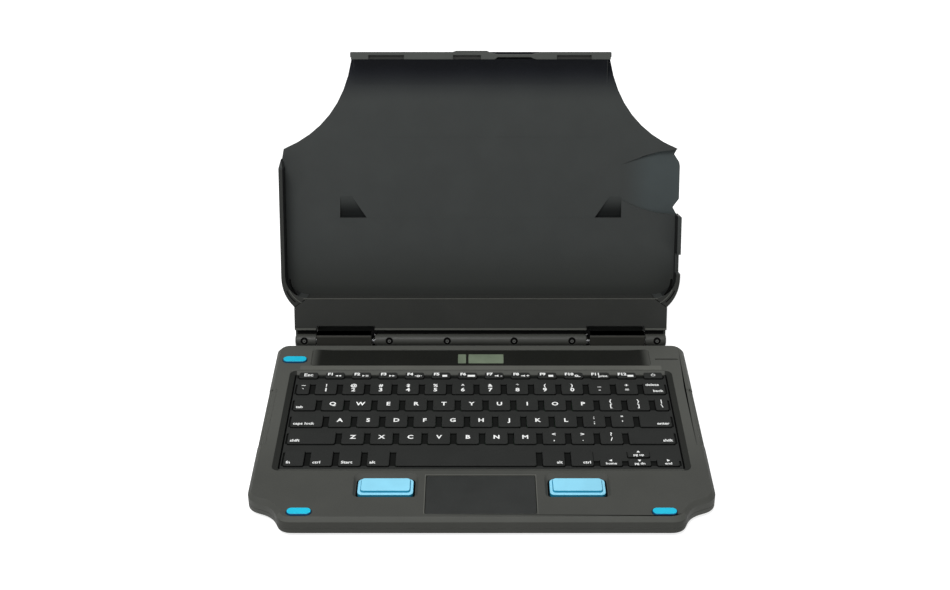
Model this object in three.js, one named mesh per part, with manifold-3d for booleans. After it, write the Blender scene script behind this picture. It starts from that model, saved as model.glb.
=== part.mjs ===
// Rugged keyboard for a field tablet: a flat keyboard base and a hinged tray that holds the tablet.
// Millimetres. +Z is up, +X is the typist's right and +Y points away from the typist.
// The base is laid out about its own middle, the lid about its hinge axis, and the finished group is
// moved at the end so that the origin is the middle of the whole object, on the surface it stands on.

import * as THREE from 'three';
import { mergeVertices } from 'three/addons/utils/BufferGeometryUtils.js';
import Module from 'manifold-3d';

// ---------------------------------------------------------------- driving dimensions

const GAP = 0.3; // air between two pieces that touch on the real object
const OVERSHOOT = 1; // how far a cutting solid reaches past the face that it cuts

// Keyboard base
const BASE_HALF_WIDTH = 135.4;
const BASE_HALF_DEPTH = 90.8;
const CASE_BOTTOM = 1.0;
const CASE_SPLIT = 5.7; // height of the line between the two case halves
const DECK_TOP = 12.5;
const DECK_PLATE = 2.2;
const CASE_FLOOR = 2.0;
const CASE_WALL = 2.4;
const DECK_CHAMFER = 2.3;
const BOTTOM_CHAMFER = 1.6;

// Keyboard well and keys
const KEY_PITCH = 17.5;
const KEY_WIDTH = 13.7;
const NARROW_KEY = 8.0;
const KEY_BLOCK_HALF_WIDTH = (13 * KEY_PITCH + NARROW_KEY) / 2;
const KEY_TOP = 12.0;
const KEY_FOOT = 8.9;
const KEY_CORNER = 1.4;
const MAT_TOP = 10.8;
const MAT_BOTTOM = 8.8;
const WELL = { halfWidth: 123.9, front: -46.3, rear: 58.9, corner: 4 };

// Deck features
const STRIP = { halfWidth: 111.5, front: 64.7, rear: 83.9, depth: 0.7 };
const TOUCHPAD = { left: -32.2, right: 31.2, front: -85.6, rear: -51.1, top: 12.2, thickness: 0.8 };
const BUTTON = { centre: 55.65, halfWidth: 16.65, front: -69.5, rear: -53.9, top: 13.3 };
const BUTTON_FLANGE = { top: 10.0, bottom: 8.8, overlap: 1.4 };
const BUMPER = { top: 13.4, seat: 11.6 };
const FOOT = { radius: 7, height: 1.6, frontX: 100, rearX: 112, frontY: -70, rearY: 76 };

// Hinge: the axis runs along X behind the base
const HINGE_Y = 95.8;
const HINGE_Z = 12;
const LEAN = THREE.MathUtils.degToRad(19.6); // how far the open lid leans back from upright
const SHAFT_RADIUS = 2;
const BARREL_RADIUS = 4.3;
const TOWER = { inner: 73.2, outer: 110, front: 91.2, rear: 101.6, bottom: 1.6, top: 18.4 };
const SHAFT = { inner: 64.2, outer: 115.5 };
const SCREW_PLACES = [-118.4, -61.3, -22.45, 22.45, 61.3, 118.4];

// Lid, about the hinge axis: x along the axis, y from the open front to the back, z up the lid
const RIM_Y = 2.0; // plane of the rims, which closes over the deck
const FLOOR_Y = 14.5; // plane that the tablet's back lies on
const BACK_Y = 17.0;
const LID_HALF_WIDTH = 133.6;
const POCKET_HALF_WIDTH = 130.8;
const LEDGE_Z = 28.4; // the tablet's lower edge stands here
const LID_TOP = 191.3;
const COVER_HALF_WIDTH = 125.4;
const NOTCH = { inner: 71.5, outer: 110.25, top: 9.2 }; // clears the hinge towers

// ---------------------------------------------------------------- helpers

const wasm = await Module();
wasm.setup();

function toSolid(geometry) {
  geometry.deleteAttribute('normal');
  geometry.deleteAttribute('uv');
  const merged = mergeVertices(geometry, 1e-4);
  const vertProperties = new Float32Array(merged.attributes.position.array);
  const triVerts = new Uint32Array(merged.index.array);
  return new wasm.Manifold(new wasm.Mesh({ numProp: 3, vertProperties, triVerts }));
}

function toGeometry(solid) {
  const { vertProperties, triVerts } = solid.getMesh();
  const geometry = new THREE.BufferGeometry();
  geometry.setAttribute('position', new THREE.BufferAttribute(vertProperties, 3));
  geometry.setIndex(new THREE.BufferAttribute(triVerts, 1));
  return geometry;
}

// A shape through the points, with each point that repeats the one before it left out.
function outline(vectors) {
  const apart = (a, b) => a.distanceTo(b) > 1e-3;
  return new THREE.Shape(vectors.filter((vector, i) => apart(vector, vectors.at(i - 1))));
}

function polygon(points) {
  return outline(points.map(([x, y]) => new THREE.Vector2(x, y)));
}

function cornerCutRectangle(x0, x1, y0, y1, cut) {
  return polygon([
    [x0 + cut, y0], [x1 - cut, y0], [x1, y0 + cut], [x1, y1 - cut],
    [x1 - cut, y1], [x0 + cut, y1], [x0, y1 - cut], [x0, y0 + cut],
  ]);
}

function roundedRectangle(x0, x1, y0, y1, radius, steps = 3) {
  const centres = [
    [x1 - radius, y0 + radius], [x1 - radius, y1 - radius], [x0 + radius, y1 - radius], [x0 + radius, y0 + radius],
  ];
  return polygon(centres.flatMap(([x, y], corner) => Array.from({ length: steps + 1 }, (_, i) => {
    const angle = (Math.PI / 2) * (corner - 1 + i / steps);
    return [x + radius * Math.cos(angle), y + radius * Math.sin(angle)];
  })));
}

// A shape whose left half mirrors the path of its right half.
function mirroredShape(rightPath, divisions) {
  const right = rightPath.getPoints(divisions);
  const left = right.map((point) => new THREE.Vector2(-point.x, point.y)).reverse();
  return outline([...right, ...left]);
}

// A flat piece that lies in the XY plane, from z0 up to z1.
function slab(shape, z0, z1) {
  const geometry = new THREE.ExtrudeGeometry(shape, { depth: z1 - z0, bevelEnabled: false });
  return toSolid(geometry.translate(0, 0, z0));
}

// The same with every edge chamfered, reaching from z0 to z1 with its chamfers included.
function chamferedSlab(shape, z0, z1, chamfer) {
  const geometry = new THREE.ExtrudeGeometry(shape, {
    depth: z1 - z0 - 2 * chamfer,
    bevelThickness: chamfer,
    bevelSize: chamfer,
    bevelOffset: -chamfer,
    bevelSegments: 1,
  });
  return toSolid(geometry.translate(0, 0, z0 + chamfer));
}

// A flat piece that stands in the XZ plane, from y0 back to y1; the shape's second axis is Z.
function panel(shape, y0, y1) {
  const geometry = new THREE.ExtrudeGeometry(shape, { depth: y1 - y0, bevelEnabled: false });
  return toSolid(geometry.rotateX(Math.PI / 2).translate(0, y1, 0));
}

// A bar along X from x0 to x1 whose section is given as points in Y and Z.
function bar(points, x0, x1) {
  const geometry = new THREE.ExtrudeGeometry(polygon(points), { depth: x1 - x0, bevelEnabled: false });
  const turn = new THREE.Matrix4().makeBasis(
    new THREE.Vector3(0, 1, 0),
    new THREE.Vector3(0, 0, 1),
    new THREE.Vector3(1, 0, 0),
  );
  return toSolid(geometry.applyMatrix4(turn).translate(x0, 0, 0));
}

function block(x0, x1, y0, y1, z0, z1) {
  const geometry = new THREE.BoxGeometry(x1 - x0, y1 - y0, z1 - z0);
  return toSolid(geometry.translate((x0 + x1) / 2, (y0 + y1) / 2, (z0 + z1) / 2));
}

// A round rod along X on the axis (y, z), and one along Y on the axis (x, z).
function rodAlongX(radius, x0, x1, y, z, sides = 20) {
  const geometry = new THREE.CylinderGeometry(radius, radius, x1 - x0, sides);
  return toSolid(geometry.rotateZ(Math.PI / 2).translate((x0 + x1) / 2, y, z));
}

function rodAlongY(radius, y0, y1, x, z, sides = 12) {
  const geometry = new THREE.CylinderGeometry(radius, radius, y1 - y0, sides);
  return toSolid(geometry.translate(x, (y0 + y1) / 2, z));
}

function joined(solids) {
  return solids.reduce((whole, solid) => whole.add(solid));
}

function cut(body, tools) {
  return tools.reduce((rest, tool) => rest.subtract(tool), body);
}

// Both of a left and right pair: the piece made for +X, and its mirror image.
function mirroredPair(solid) {
  return [solid, solid.mirror([1, 0, 0])];
}

const finishes = {
  caseOlive: { color: 0x3b3b37, roughness: 0.62, metalness: 0 },
  lidBlack: { color: 0x2b2d2f, roughness: 0.6, metalness: 0 },
  coverBlack: { color: 0x252625, roughness: 0.6, metalness: 0 },
  keyRubber: { color: 0x161718, roughness: 0.75, metalness: 0 },
  padFilm: { color: 0x232425, roughness: 0.45, metalness: 0 },
  clickBlue: { color: 0x78b4dc, roughness: 0.5, metalness: 0 },
  bumperCyan: { color: 0x0a98c8, roughness: 0.6, metalness: 0 },
  footRubber: { color: 0x1a1a1a, roughness: 0.85, metalness: 0 },
  steel: { color: 0x8c8f92, roughness: 0.35, metalness: 1 },
  screwSteel: { color: 0x3a3c3e, roughness: 0.4, metalness: 1 },
  plateGrey: { color: 0x8d9288, roughness: 0.4, metalness: 0.6 },
  boardGreen: { color: 0x1f5b34, roughness: 0.5, metalness: 0 },
  cellSilver: { color: 0xa9adb0, roughness: 0.4, metalness: 0.5 },
};

function piece(name, solid, finish) {
  const mesh = new THREE.Mesh(toGeometry(solid), new THREE.MeshStandardMaterial(finishes[finish]));
  mesh.name = name;
  return mesh;
}

// ---------------------------------------------------------------- base case

// Outline of the base: straight sides, rounded rear corners, and front corners scooped out in an S.
function baseOutline() {
  const half = new THREE.Path();
  half.moveTo(107.5, -BASE_HALF_DEPTH);
  half.bezierCurveTo(113, -BASE_HALF_DEPTH, 115.2, -88.5, 116.6, -85);
  half.bezierCurveTo(118.4, -80.2, 121, -76.8, 127, -74.4);
  half.bezierCurveTo(132.2, -72.4, BASE_HALF_WIDTH, -70, BASE_HALF_WIDTH, -63.5);
  half.lineTo(BASE_HALF_WIDTH, BASE_HALF_DEPTH - 8);
  half.absarc(BASE_HALF_WIDTH - 8, BASE_HALF_DEPTH - 8, 8, 0, Math.PI / 2);
  return mirroredShape(half, 9);
}

// Room inside the walls, with plain corners where the outline is curved.
function baseCavity(z0, z1) {
  const side = BASE_HALF_WIDTH - CASE_WALL;
  const end = BASE_HALF_DEPTH - CASE_WALL;
  const half = new THREE.Path([
    [104, -end], [111.5, -86.3], [115.4, -77.8], [121.5, -72.6],
    [130, -69.6], [side, -63], [side, end - 6], [side - 6, end],
  ].map(([x, y]) => new THREE.Vector2(x, y)));
  return slab(mirroredShape(half), z0, z1);
}

// Pill-shaped rubber pads that keep the closed lid off the deck; one corner has a slot instead.
const bumperPlaces = [
  { name: 'bumper_rear_left', x: -122.4, y: 71.3, halfWidth: 7.9, halfDepth: 3.4 },
  { name: 'bumper_front_left', x: -103.7, y: -84.2, halfWidth: 7.1, halfDepth: 3.0 },
  { name: 'bumper_front_right', x: 103.7, y: -84.2, halfWidth: 7.1, halfDepth: 3.0 },
];

function pill({ x, y, halfWidth, halfDepth }, grow) {
  const a = halfWidth + grow;
  const b = halfDepth + grow;
  return roundedRectangle(x - a, x + a, y - b, y + b, b);
}

function clickButtonOpening(side) {
  const centre = side * BUTTON.centre;
  const reach = BUTTON.halfWidth + 0.9;
  return roundedRectangle(centre - reach, centre + reach, BUTTON.front - 0.9, BUTTON.rear + 0.9, 3);
}

// A shallow thumb scoop along the edge of the deck, where the closed lid is picked up.
function gripScoop() {
  const edge = BASE_HALF_WIDTH;
  return bar([[-21, DECK_TOP + OVERSHOOT], [-21, 9.4], [38, 9.4], [38, DECK_TOP + OVERSHOOT]], edge - 5, edge + 1)
    .subtract(bar([[-22, 0], [-22, 11.9], [39, 11.9], [39, 0]], edge - 6, edge - 2.6))
    .subtract(slab(polygon([[edge - 6, -22], [edge - 1.1, -22], [edge - 1.1, 39], [edge - 6, 39]]), 0, 10.6));
}

function topCase() {
  const skirtBottom = CASE_SPLIT + GAP / 2;
  const raw = chamferedSlab(baseOutline(), CASE_BOTTOM, DECK_TOP, DECK_CHAMFER);
  const belowSplit = block(-200, 200, -200, 200, -OVERSHOOT, skirtBottom);
  const well = roundedRectangle(-WELL.halfWidth, WELL.halfWidth, WELL.front, WELL.rear, WELL.corner);
  const strip = roundedRectangle(-STRIP.halfWidth, STRIP.halfWidth, STRIP.front, STRIP.rear, 2);
  const padSeat = roundedRectangle(
    TOUCHPAD.left - GAP, TOUCHPAD.right + GAP, TOUCHPAD.front - GAP, TOUCHPAD.rear + GAP, 1.5);
  const above = DECK_TOP + OVERSHOOT;
  const tongueWindow = block(76.6, 106.4, 85, 93, CASE_SPLIT - OVERSHOOT, 9.8);
  const cornerSlot = roundedRectangle(114.8, 130.3, 71.6, 73.0, 0.6);
  return cut(raw, [
    belowSplit,
    baseCavity(CASE_SPLIT - OVERSHOOT, DECK_TOP - DECK_PLATE),
    slab(well, CASE_SPLIT, above),
    slab(strip, DECK_TOP - STRIP.depth, above),
    slab(padSeat, TOUCHPAD.top - TOUCHPAD.thickness - GAP, above),
    slab(clickButtonOpening(-1), CASE_SPLIT, above),
    slab(clickButtonOpening(1), CASE_SPLIT, above),
    ...bumperPlaces.map((place) => slab(pill(place, GAP), BUMPER.seat - GAP, above)),
    slab(cornerSlot, DECK_TOP - 1.4, above),
    ...mirroredPair(tongueWindow),
    ...mirroredPair(gripScoop()),
  ]);
}

const footPlaces = [
  { name: 'foot_front_left', x: -FOOT.frontX, y: FOOT.frontY },
  { name: 'foot_front_right', x: FOOT.frontX, y: FOOT.frontY },
  { name: 'foot_rear_left', x: -FOOT.rearX, y: FOOT.rearY },
  { name: 'foot_rear_right', x: FOOT.rearX, y: FOOT.rearY },
];

function footDisc(radius, z0, z1) {
  const geometry = new THREE.CylinderGeometry(radius, radius, z1 - z0, 20);
  return toSolid(geometry.rotateX(Math.PI / 2).translate(0, 0, (z0 + z1) / 2));
}

function bottomCase() {
  const raw = chamferedSlab(baseOutline(), CASE_BOTTOM, DECK_TOP, BOTTOM_CHAMFER);
  const aboveSplit = block(-200, 200, -200, 200, CASE_SPLIT - GAP / 2, DECK_TOP + OVERSHOOT);
  const footSeat = footDisc(FOOT.radius + GAP, 0, FOOT.height + GAP);
  return cut(raw, [
    aboveSplit,
    baseCavity(CASE_BOTTOM + CASE_FLOOR, CASE_SPLIT + OVERSHOOT),
    ...footPlaces.map(({ x, y }) => footSeat.translate([x, y, 0])),
  ]);
}

// ---------------------------------------------------------------- keys

// Rows from the back to the front. A key is its name and, where it isn't a standard key, its width.
// The letter keys and the space bar are separate sprung keys; the others are moulded in the mat.
const FUNCTION_WIDTH = 12.0;
const MODIFIER_WIDTH = 13.2;
const functionKeys = ['esc', ...Array.from({ length: 12 }, (_, i) => `f${i + 1}`), 'power'];
const HALF_ARROW = 6.6;

const keyRows = [
  { front: 51.0, depth: 6.4, keys: functionKeys.map((name) => [name, FUNCTION_WIDTH]) },
  { front: 33.3, depth: 12.6, keys: [['grave', NARROW_KEY], ...'1234567890'.split(''), 'minus', 'equals', 'delete'] },
  { front: 15.6, depth: 12.6, keys: ['tab', ...'qwertyuiop'.split(''), 'open', 'close', ['bar', NARROW_KEY]] },
  { front: -1.9, depth: 12.6, keys: [['caps', 19.6], ...'asdfghjkl'.split(''), 'semicolon', 'quote', ['enter', 19.6]] },
  {
    front: -19.3,
    depth: 12.6,
    keys: [['shift_left', 28.9], ...'zxcvbnm'.split(''), 'comma', 'stop', 'slash', ['shift_right', 27.8]],
  },
  {
    front: -40.9,
    depth: 15,
    keys: [
      ['fn', 11.9], ['ctrl_left', MODIFIER_WIDTH], ['start', MODIFIER_WIDTH], ['alt_left', MODIFIER_WIDTH],
      ['space', 83.8], ['alt_right', MODIFIER_WIDTH], ['ctrl_right', MODIFIER_WIDTH],
      ['left', MODIFIER_WIDTH], ['up_down', MODIFIER_WIDTH], ['right', MODIFIER_WIDTH],
    ],
  },
];

// Every key's name and rectangle. The gaps in a row share what its keys leave of the block's width.
function keyRectangles() {
  return keyRows.flatMap(({ front, depth, keys }) => {
    const sized = keys.map((key) => (Array.isArray(key) ? key : [key, KEY_WIDTH]));
    const used = sized.reduce((sum, [, width]) => sum + width, 0);
    const gap = (2 * KEY_BLOCK_HALF_WIDTH - used) / (sized.length - 1);
    let left = -KEY_BLOCK_HALF_WIDTH;
    return sized.flatMap(([name, width]) => {
      const rectangle = { name, x0: left, x1: left + width, y0: front, y1: front + depth };
      left += width + gap;
      const lower = { ...rectangle, y1: front + HALF_ARROW };
      const upper = { ...rectangle, y0: front + depth - HALF_ARROW };
      if (name === 'up_down') return [{ ...upper, name: 'up' }, { ...lower, name: 'down' }];
      return name === 'left' || name === 'right' ? [lower] : [rectangle];
    });
  });
}

const isSprung = ({ name }) => /^([a-z]|space)$/.test(name);

function keyShape({ x0, x1, y0, y1 }, grow = 0) {
  return cornerCutRectangle(x0 - grow, x1 + grow, y0 - grow, y1 + grow, KEY_CORNER);
}

function keyMat() {
  const inset = 0.4;
  const sheet = slab(
    roundedRectangle(
      -WELL.halfWidth + inset, WELL.halfWidth - inset, WELL.front + inset, WELL.rear - inset, WELL.corner - inset),
    MAT_BOTTOM, MAT_TOP);
  const keys = keyRectangles();
  const moulded = keys.filter((key) => !isSprung(key)).map((key) => slab(keyShape(key), MAT_BOTTOM, KEY_TOP));
  const holes = keys.filter(isSprung).map((key) => slab(keyShape(key, GAP), MAT_BOTTOM - 1, KEY_TOP));
  return cut(joined([sheet, ...moulded]), holes);
}

function sprungKeys() {
  return keyRectangles().filter(isSprung).map((key) => {
    const x = (key.x0 + key.x1) / 2;
    const y = (key.y0 + key.y1) / 2;
    const halfWidth = (key.x1 - key.x0) / 2;
    const halfDepth = (key.y1 - key.y0) / 2;
    const shape = cornerCutRectangle(-halfWidth, halfWidth, -halfDepth, halfDepth, KEY_CORNER);
    const mesh = piece(`key_${key.name}`, slab(shape, KEY_FOOT, KEY_TOP), 'keyRubber');
    mesh.position.set(x, y, 0);
    return mesh;
  });
}

// ---------------------------------------------------------------- other pieces of the base

// A click button: a bevelled cap that stands in its opening, with a flange under the deck.
function clickButton() {
  const { halfWidth, front, rear, top } = BUTTON;
  const middle = (front + rear) / 2;
  const halfDepth = (rear - front) / 2;
  const reach = BUTTON_FLANGE.overlap + 0.9;
  const cap = chamferedSlab(roundedRectangle(-halfWidth, halfWidth, -halfDepth, halfDepth, 2.2), 9, top, 0.8);
  const flange = slab(
    roundedRectangle(-halfWidth - reach, halfWidth + reach, -halfDepth - reach, halfDepth + reach, 3),
    BUTTON_FLANGE.bottom, BUTTON_FLANGE.top);
  return cap.add(flange).translate([0, middle, 0]);
}

// The fixed part of the hinge: a block behind the case, hollow at the top, with a tongue that is held
// between the halves of the case.
function hingeTower() {
  const { inner, outer, front, rear, bottom, top } = TOWER;
  const section = [
    [front, bottom], [front, top - 1], [front + 1, top], [rear - 3.6, top],
    [rear, top - 3.4], [rear, bottom + 2.4], [rear - 2.4, bottom],
  ].reverse();
  const body = bar(section, inner, outer).add(block(77, 106, 80, front + OVERSHOOT, 6.4, 9.4));
  const pocket = block(inner + 1.2, outer - 1.2, front + 1.3, rear - 1.3, 14.9, top + OVERSHOOT);
  return cut(body, [rodAlongX(SHAFT_RADIUS + GAP, inner - 1, outer + 1, HINGE_Y, HINGE_Z), pocket]);
}

function baseGroup() {
  const group = new THREE.Group();
  const touchpad = slab(
    roundedRectangle(TOUCHPAD.left, TOUCHPAD.right, TOUCHPAD.front, TOUCHPAD.rear, 1.3),
    TOUCHPAD.top - TOUCHPAD.thickness, TOUCHPAD.top);
  const stripFloor = DECK_TOP - STRIP.depth;
  const nameplate = slab(roundedRectangle(-15, 15, 67.3, 77.7, 1), stripFloor + GAP, stripFloor + GAP + 0.5);
  group.add(
    piece('bottom_case', bottomCase(), 'caseOlive'),
    piece('top_case', topCase(), 'caseOlive'),
    piece('key_mat', keyMat(), 'keyRubber'),
    piece('key_board', block(-122, 122, -44.5, 57, 6.2, 7.4), 'boardGreen'),
    piece('controller_board', block(38, 104, -82, -52, 4.6, 5.8), 'boardGreen'),
    piece('battery_pack', slab(roundedRectangle(-106, -36, -84, -51, 2), 3.3, 7.3), 'cellSilver'),
    piece('touchpad', touchpad, 'padFilm'),
    piece('nameplate', nameplate, 'plateGrey'),
    ...sprungKeys(),
  );
  for (const place of bumperPlaces) {
    group.add(piece(place.name, chamferedSlab(pill(place, 0), BUMPER.seat, BUMPER.top, 0.5), 'bumperCyan'));
  }
  for (const { name, x, y } of footPlaces) {
    const foot = piece(name, footDisc(FOOT.radius, 0, FOOT.height), 'footRubber');
    foot.position.set(x, y, 0);
    group.add(foot);
  }
  for (const [name, side] of [['left', -1], ['right', 1]]) {
    const button = piece(`click_button_${name}`, clickButton(), 'clickBlue');
    button.position.x = side * BUTTON.centre;
    group.add(button);
  }
  const [towerRight, towerLeft] = mirroredPair(hingeTower());
  const shaft = rodAlongX(SHAFT_RADIUS, SHAFT.inner, SHAFT.outer, HINGE_Y, HINGE_Z);
  const [shaftRight, shaftLeft] = mirroredPair(shaft);
  group.add(
    piece('hinge_tower_left', towerLeft, 'coverBlack'),
    piece('hinge_tower_right', towerRight, 'coverBlack'),
    piece('hinge_shaft_left', shaftLeft, 'steel'),
    piece('hinge_shaft_right', shaftRight, 'steel'),
  );
  return group;
}

// ---------------------------------------------------------------- lid

// Outline of the tray: narrow beside the hinge, full width at the pocket, and both upper corners cut
// away in a hollow curve.
function trayOutline() {
  const half = new THREE.Path();
  half.moveTo(COVER_HALF_WIDTH - 5, 3);
  half.lineTo(COVER_HALF_WIDTH, 8);
  half.lineTo(COVER_HALF_WIDTH, 22.5);
  half.quadraticCurveTo(LID_HALF_WIDTH - 0.4, 30, LID_HALF_WIDTH, 42);
  half.lineTo(LID_HALF_WIDTH, 115.7);
  half.lineTo(131.4, 127.4);
  half.quadraticCurveTo(92.5, 143.6, 85.3, 186);
  half.lineTo(85.3, LID_TOP);
  return mirroredShape(half, 8);
}

// The pocket's outline at the front: rounded lower corners, and open above the side walls.
function pocketOutline() {
  const half = new THREE.Path();
  const radius = 14;
  const bottom = LEDGE_Z + GAP;
  half.moveTo(POCKET_HALF_WIDTH - radius, bottom);
  half.absarc(POCKET_HALF_WIDTH - radius, bottom + radius, radius, -Math.PI / 2, 0);
  half.lineTo(POCKET_HALF_WIDTH, 115.7);
  half.lineTo(LID_HALF_WIDTH + 1, 128.5);
  half.lineTo(LID_HALF_WIDTH + 1, 188);
  return mirroredShape(half, 4);
}

function coverOutline(grow) {
  const side = COVER_HALF_WIDTH + grow;
  const half = new THREE.Path([
    [side, 6.5 - grow * 40], [side, 21.8 + grow / 2], [116.2 + grow / 2, LEDGE_Z + grow],
  ].map(([x, y]) => new THREE.Vector2(x, y)));
  return mirroredShape(half);
}

// A scoop in the right edge of the tray, which widens and falls away outwards, so the back bulges there.
const SCOOP = {
  inner: 93.5,
  fall: 3.6,
  wall: 2.5,
  lowerEdge: [[93.5, 94], [101, 90.2], [108.6, 87.1], [119.6, 84.2], [136, 82.2]],
  upperEdge: [[136, 127.8], [129.7, 127], [118.6, 125.6], [107.8, 122.2], [101, 119.6], [93.5, 116.8]],
};

function scoopPrism(grow) {
  const lower = SCOOP.lowerEdge.map(([x, z]) => [x, z - grow]);
  const upper = SCOOP.upperEdge.map(([x, z]) => [x, z + grow]);
  return panel(polygon([...lower, ...upper]), FLOOR_Y - OVERSHOOT, BACK_Y + SCOOP.fall + OVERSHOOT);
}

// The space that the scoop opens, and the floor and two sides that close it at the back.
function scoopSpace() {
  const outer = LID_HALF_WIDTH + OVERSHOOT;
  const section = [[SCOOP.inner, FLOOR_Y], [outer, FLOOR_Y - OVERSHOOT], [outer, FLOOR_Y + SCOOP.fall]];
  return slab(polygon(section), 78, 132).intersect(scoopPrism(0));
}

function scoopBack() {
  const section = [
    [SCOOP.inner, FLOOR_Y], [LID_HALF_WIDTH, FLOOR_Y],
    [LID_HALF_WIDTH, BACK_Y + SCOOP.fall], [SCOOP.inner, BACK_Y],
  ];
  return slab(polygon(section), 76, 134)
    .intersect(scoopPrism(SCOOP.wall))
    .intersect(panel(trayOutline(), FLOOR_Y, BACK_Y + SCOOP.fall + OVERSHOOT));
}

// The right edge is nicked at both ends of the scoop.
function scoopNicks() {
  const reach = LID_HALF_WIDTH + 3;
  const nicks = [
    [[reach, 129], [131.5, 127.3], [129.6, 123.8], [LID_HALF_WIDTH, 117.4], [reach, 117.4]],
    [[reach, 93.6], [LID_HALF_WIDTH, 93.6], [129.4, 87.9], [132, 83.3], [reach, 83.3]],
  ];
  return nicks.map((points) => panel(polygon(points), RIM_Y - OVERSHOOT, BACK_Y + SCOOP.fall + OVERSHOOT));
}

// A finger recess that is deepest along its lower edge and runs out at its top.
function fingerRecess() {
  const ramp = [[FLOOR_Y - OVERSHOOT, 80], [FLOOR_Y + 1.8, 81.4], [FLOOR_Y, 95.6], [FLOOR_Y - OVERSHOOT, 97]];
  const outline = polygon([[76.8, 81.4], [94.3, 81.4], [94.3, 97], [87.3, 97]]);
  return bar(ramp, 70, 100).intersect(panel(outline, FLOOR_Y - 2, FLOOR_Y + 2));
}

function tabletShell() {
  const tray = panel(trayOutline(), RIM_Y, BACK_Y);
  const front = RIM_Y - OVERSHOOT;
  const far = LID_HALF_WIDTH + 2;
  const slopeStart = 170;
  const topSlope = bar([[FLOOR_Y + 0.5, slopeStart - 2.4], [11, 187], [FLOOR_Y + 0.5, 189]], -83.5, 83.5);
  const backSlope = bar([[BACK_Y + 1, 166.5], [BACK_Y + 1, 200], [13.0, 200]], -far, far);
  const wallEnd = bar([[front, 114.6], [FLOOR_Y, 127.6], [FLOOR_Y, 135], [front, 135]], -far, far);
  return cut(tray.add(scoopBack()), [
    scoopSpace(),
    panel(pocketOutline(), front, FLOOR_Y),
    panel(coverOutline(GAP), front, FLOOR_Y),
    block(-90, 90, front, 6.3, 186, 200),
    wallEnd,
    block(120, far, front, FLOOR_Y - 3, 45, 58),
    block(120, far, front, FLOOR_Y, 84, 135),
    backSlope,
    ...mirroredPair(fingerRecess()),
    ...scoopNicks(),
  ]).add(topSlope);
}

// The spine along the lid's lower edge: a box with its back open, and round barrels on the hinge axis.
function hingeCover() {
  const web = [[2.6, 7], [2.6, -3.2], [8, -3.2], [14.2, 2.5], [14.2, 7]];
  const stretches = [
    [-123.5, -NOTCH.outer - GAP], [-NOTCH.inner + 0.5, NOTCH.inner - 0.5], [NOTCH.outer + GAP, 123.5],
  ];
  const barrels = stretches.map(([x0, x1]) => rodAlongX(BARREL_RADIUS, x0, x1, 0, 0, 28));
  const webs = stretches.map(([x0, x1]) => bar(web, x0, x1));
  const body = joined([panel(coverOutline(0), RIM_Y, FLOOR_Y - GAP), ...barrels, ...webs]);
  const notch = block(NOTCH.inner, NOTCH.outer, -6, FLOOR_Y, -6, NOTCH.top);
  const shaftBore = rodAlongX(SHAFT_RADIUS + GAP, SHAFT.inner - GAP, SHAFT.outer + GAP, 0, 0);
  const leafSlot = bar(
    [[0, 0], [3.0, -2.0], [7.6, 4.4], [7.6, 12], [4.2, 12], [4.2, 6.6], [0, 2]],
    65.7, 69.3).add(rodAlongX(3.5, 65.7, 69.3, 0, 0));
  const screwHoles = SCREW_PLACES.flatMap((x) => [
    rodAlongY(2.5, -6, -2.4, x, 0.3),
    rodAlongY(1.4, -3, 8.7, x, 0.3),
  ]);
  return cut(body, [
    ...mirroredPair(notch),
    ...mirroredPair(shaftBore),
    ...mirroredPair(leafSlot),
    ...screwHoles,
    panel(polygon([[-122.6, 11.2], [122.6, 11.2], [122.6, 20.6], [116, 26.2], [-116, 26.2], [-122.6, 20.6]]), 4, 16),
  ]);
}

function hingeScrew() {
  return rodAlongY(2.2, -3.9, -2.7, 0, 0.3).add(rodAlongY(1.1, -3, 8.4, 0, 0.3));
}

// The moving part of the hinge: an eye on the shaft, an arm, and a plate behind the cover's front.
function hingeLeaf() {
  const arm = bar([[0.6, 0.4], [3.0, -1.2], [7.0, 4.6], [7.0, 16], [4.6, 16], [4.6, 6.4]], 66, 69);
  const eye = rodAlongX(3.2, 66, 69, 0, 0);
  const plate = block(50, 100, 4.6, 6.4, 13, 24);
  return joined([arm, eye, plate]).subtract(rodAlongX(SHAFT_RADIUS + GAP, 65, 70, 0, 0));
}

// The bar that hooks over the tablet's upper edge: stepped along its length, with three windows.
function topRetainer() {
  const bottom = 186.8;
  const depth = [RIM_Y, RIM_Y + 4];
  const outline = polygon([
    [-84.5, bottom], [9, bottom], [11, bottom + 1.4], [32, bottom + 1.4], [36, bottom], [84.5, bottom],
    [84.5, LID_TOP], [38, LID_TOP], [33, LID_TOP - 1.2], [11, LID_TOP - 1.2], [6, LID_TOP],
    [4, LID_TOP + 1], [-16, LID_TOP + 1], [-19, LID_TOP], [-84.5, LID_TOP],
  ]);
  const windows = [[-73, -50], [-18, 0], [49.5, 72]].map(
    ([x0, x1]) => block(x0, x1, RIM_Y - OVERSHOOT, RIM_Y + 1.5, bottom - OVERSHOOT, bottom + 2.7));
  return cut(panel(outline, ...depth), windows);
}

function lidGroup() {
  const group = new THREE.Group();
  group.add(
    piece('tablet_shell', tabletShell(), 'lidBlack'),
    piece('hinge_cover', hingeCover(), 'coverBlack'),
    piece('top_retainer', topRetainer(), 'caseOlive'),
  );
  SCREW_PLACES.forEach((x, index) => {
    const screw = piece(`hinge_screw_${index + 1}`, hingeScrew(), 'screwSteel');
    screw.position.x = x;
    group.add(screw);
  });
  const [leafRight, leafLeft] = mirroredPair(hingeLeaf());
  group.add(piece('hinge_leaf_left', leafLeft, 'steel'), piece('hinge_leaf_right', leafRight, 'steel'));
  group.position.set(0, HINGE_Y, HINGE_Z);
  group.rotation.x = -LEAN;
  return group;
}

// ---------------------------------------------------------------- whole object

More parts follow.
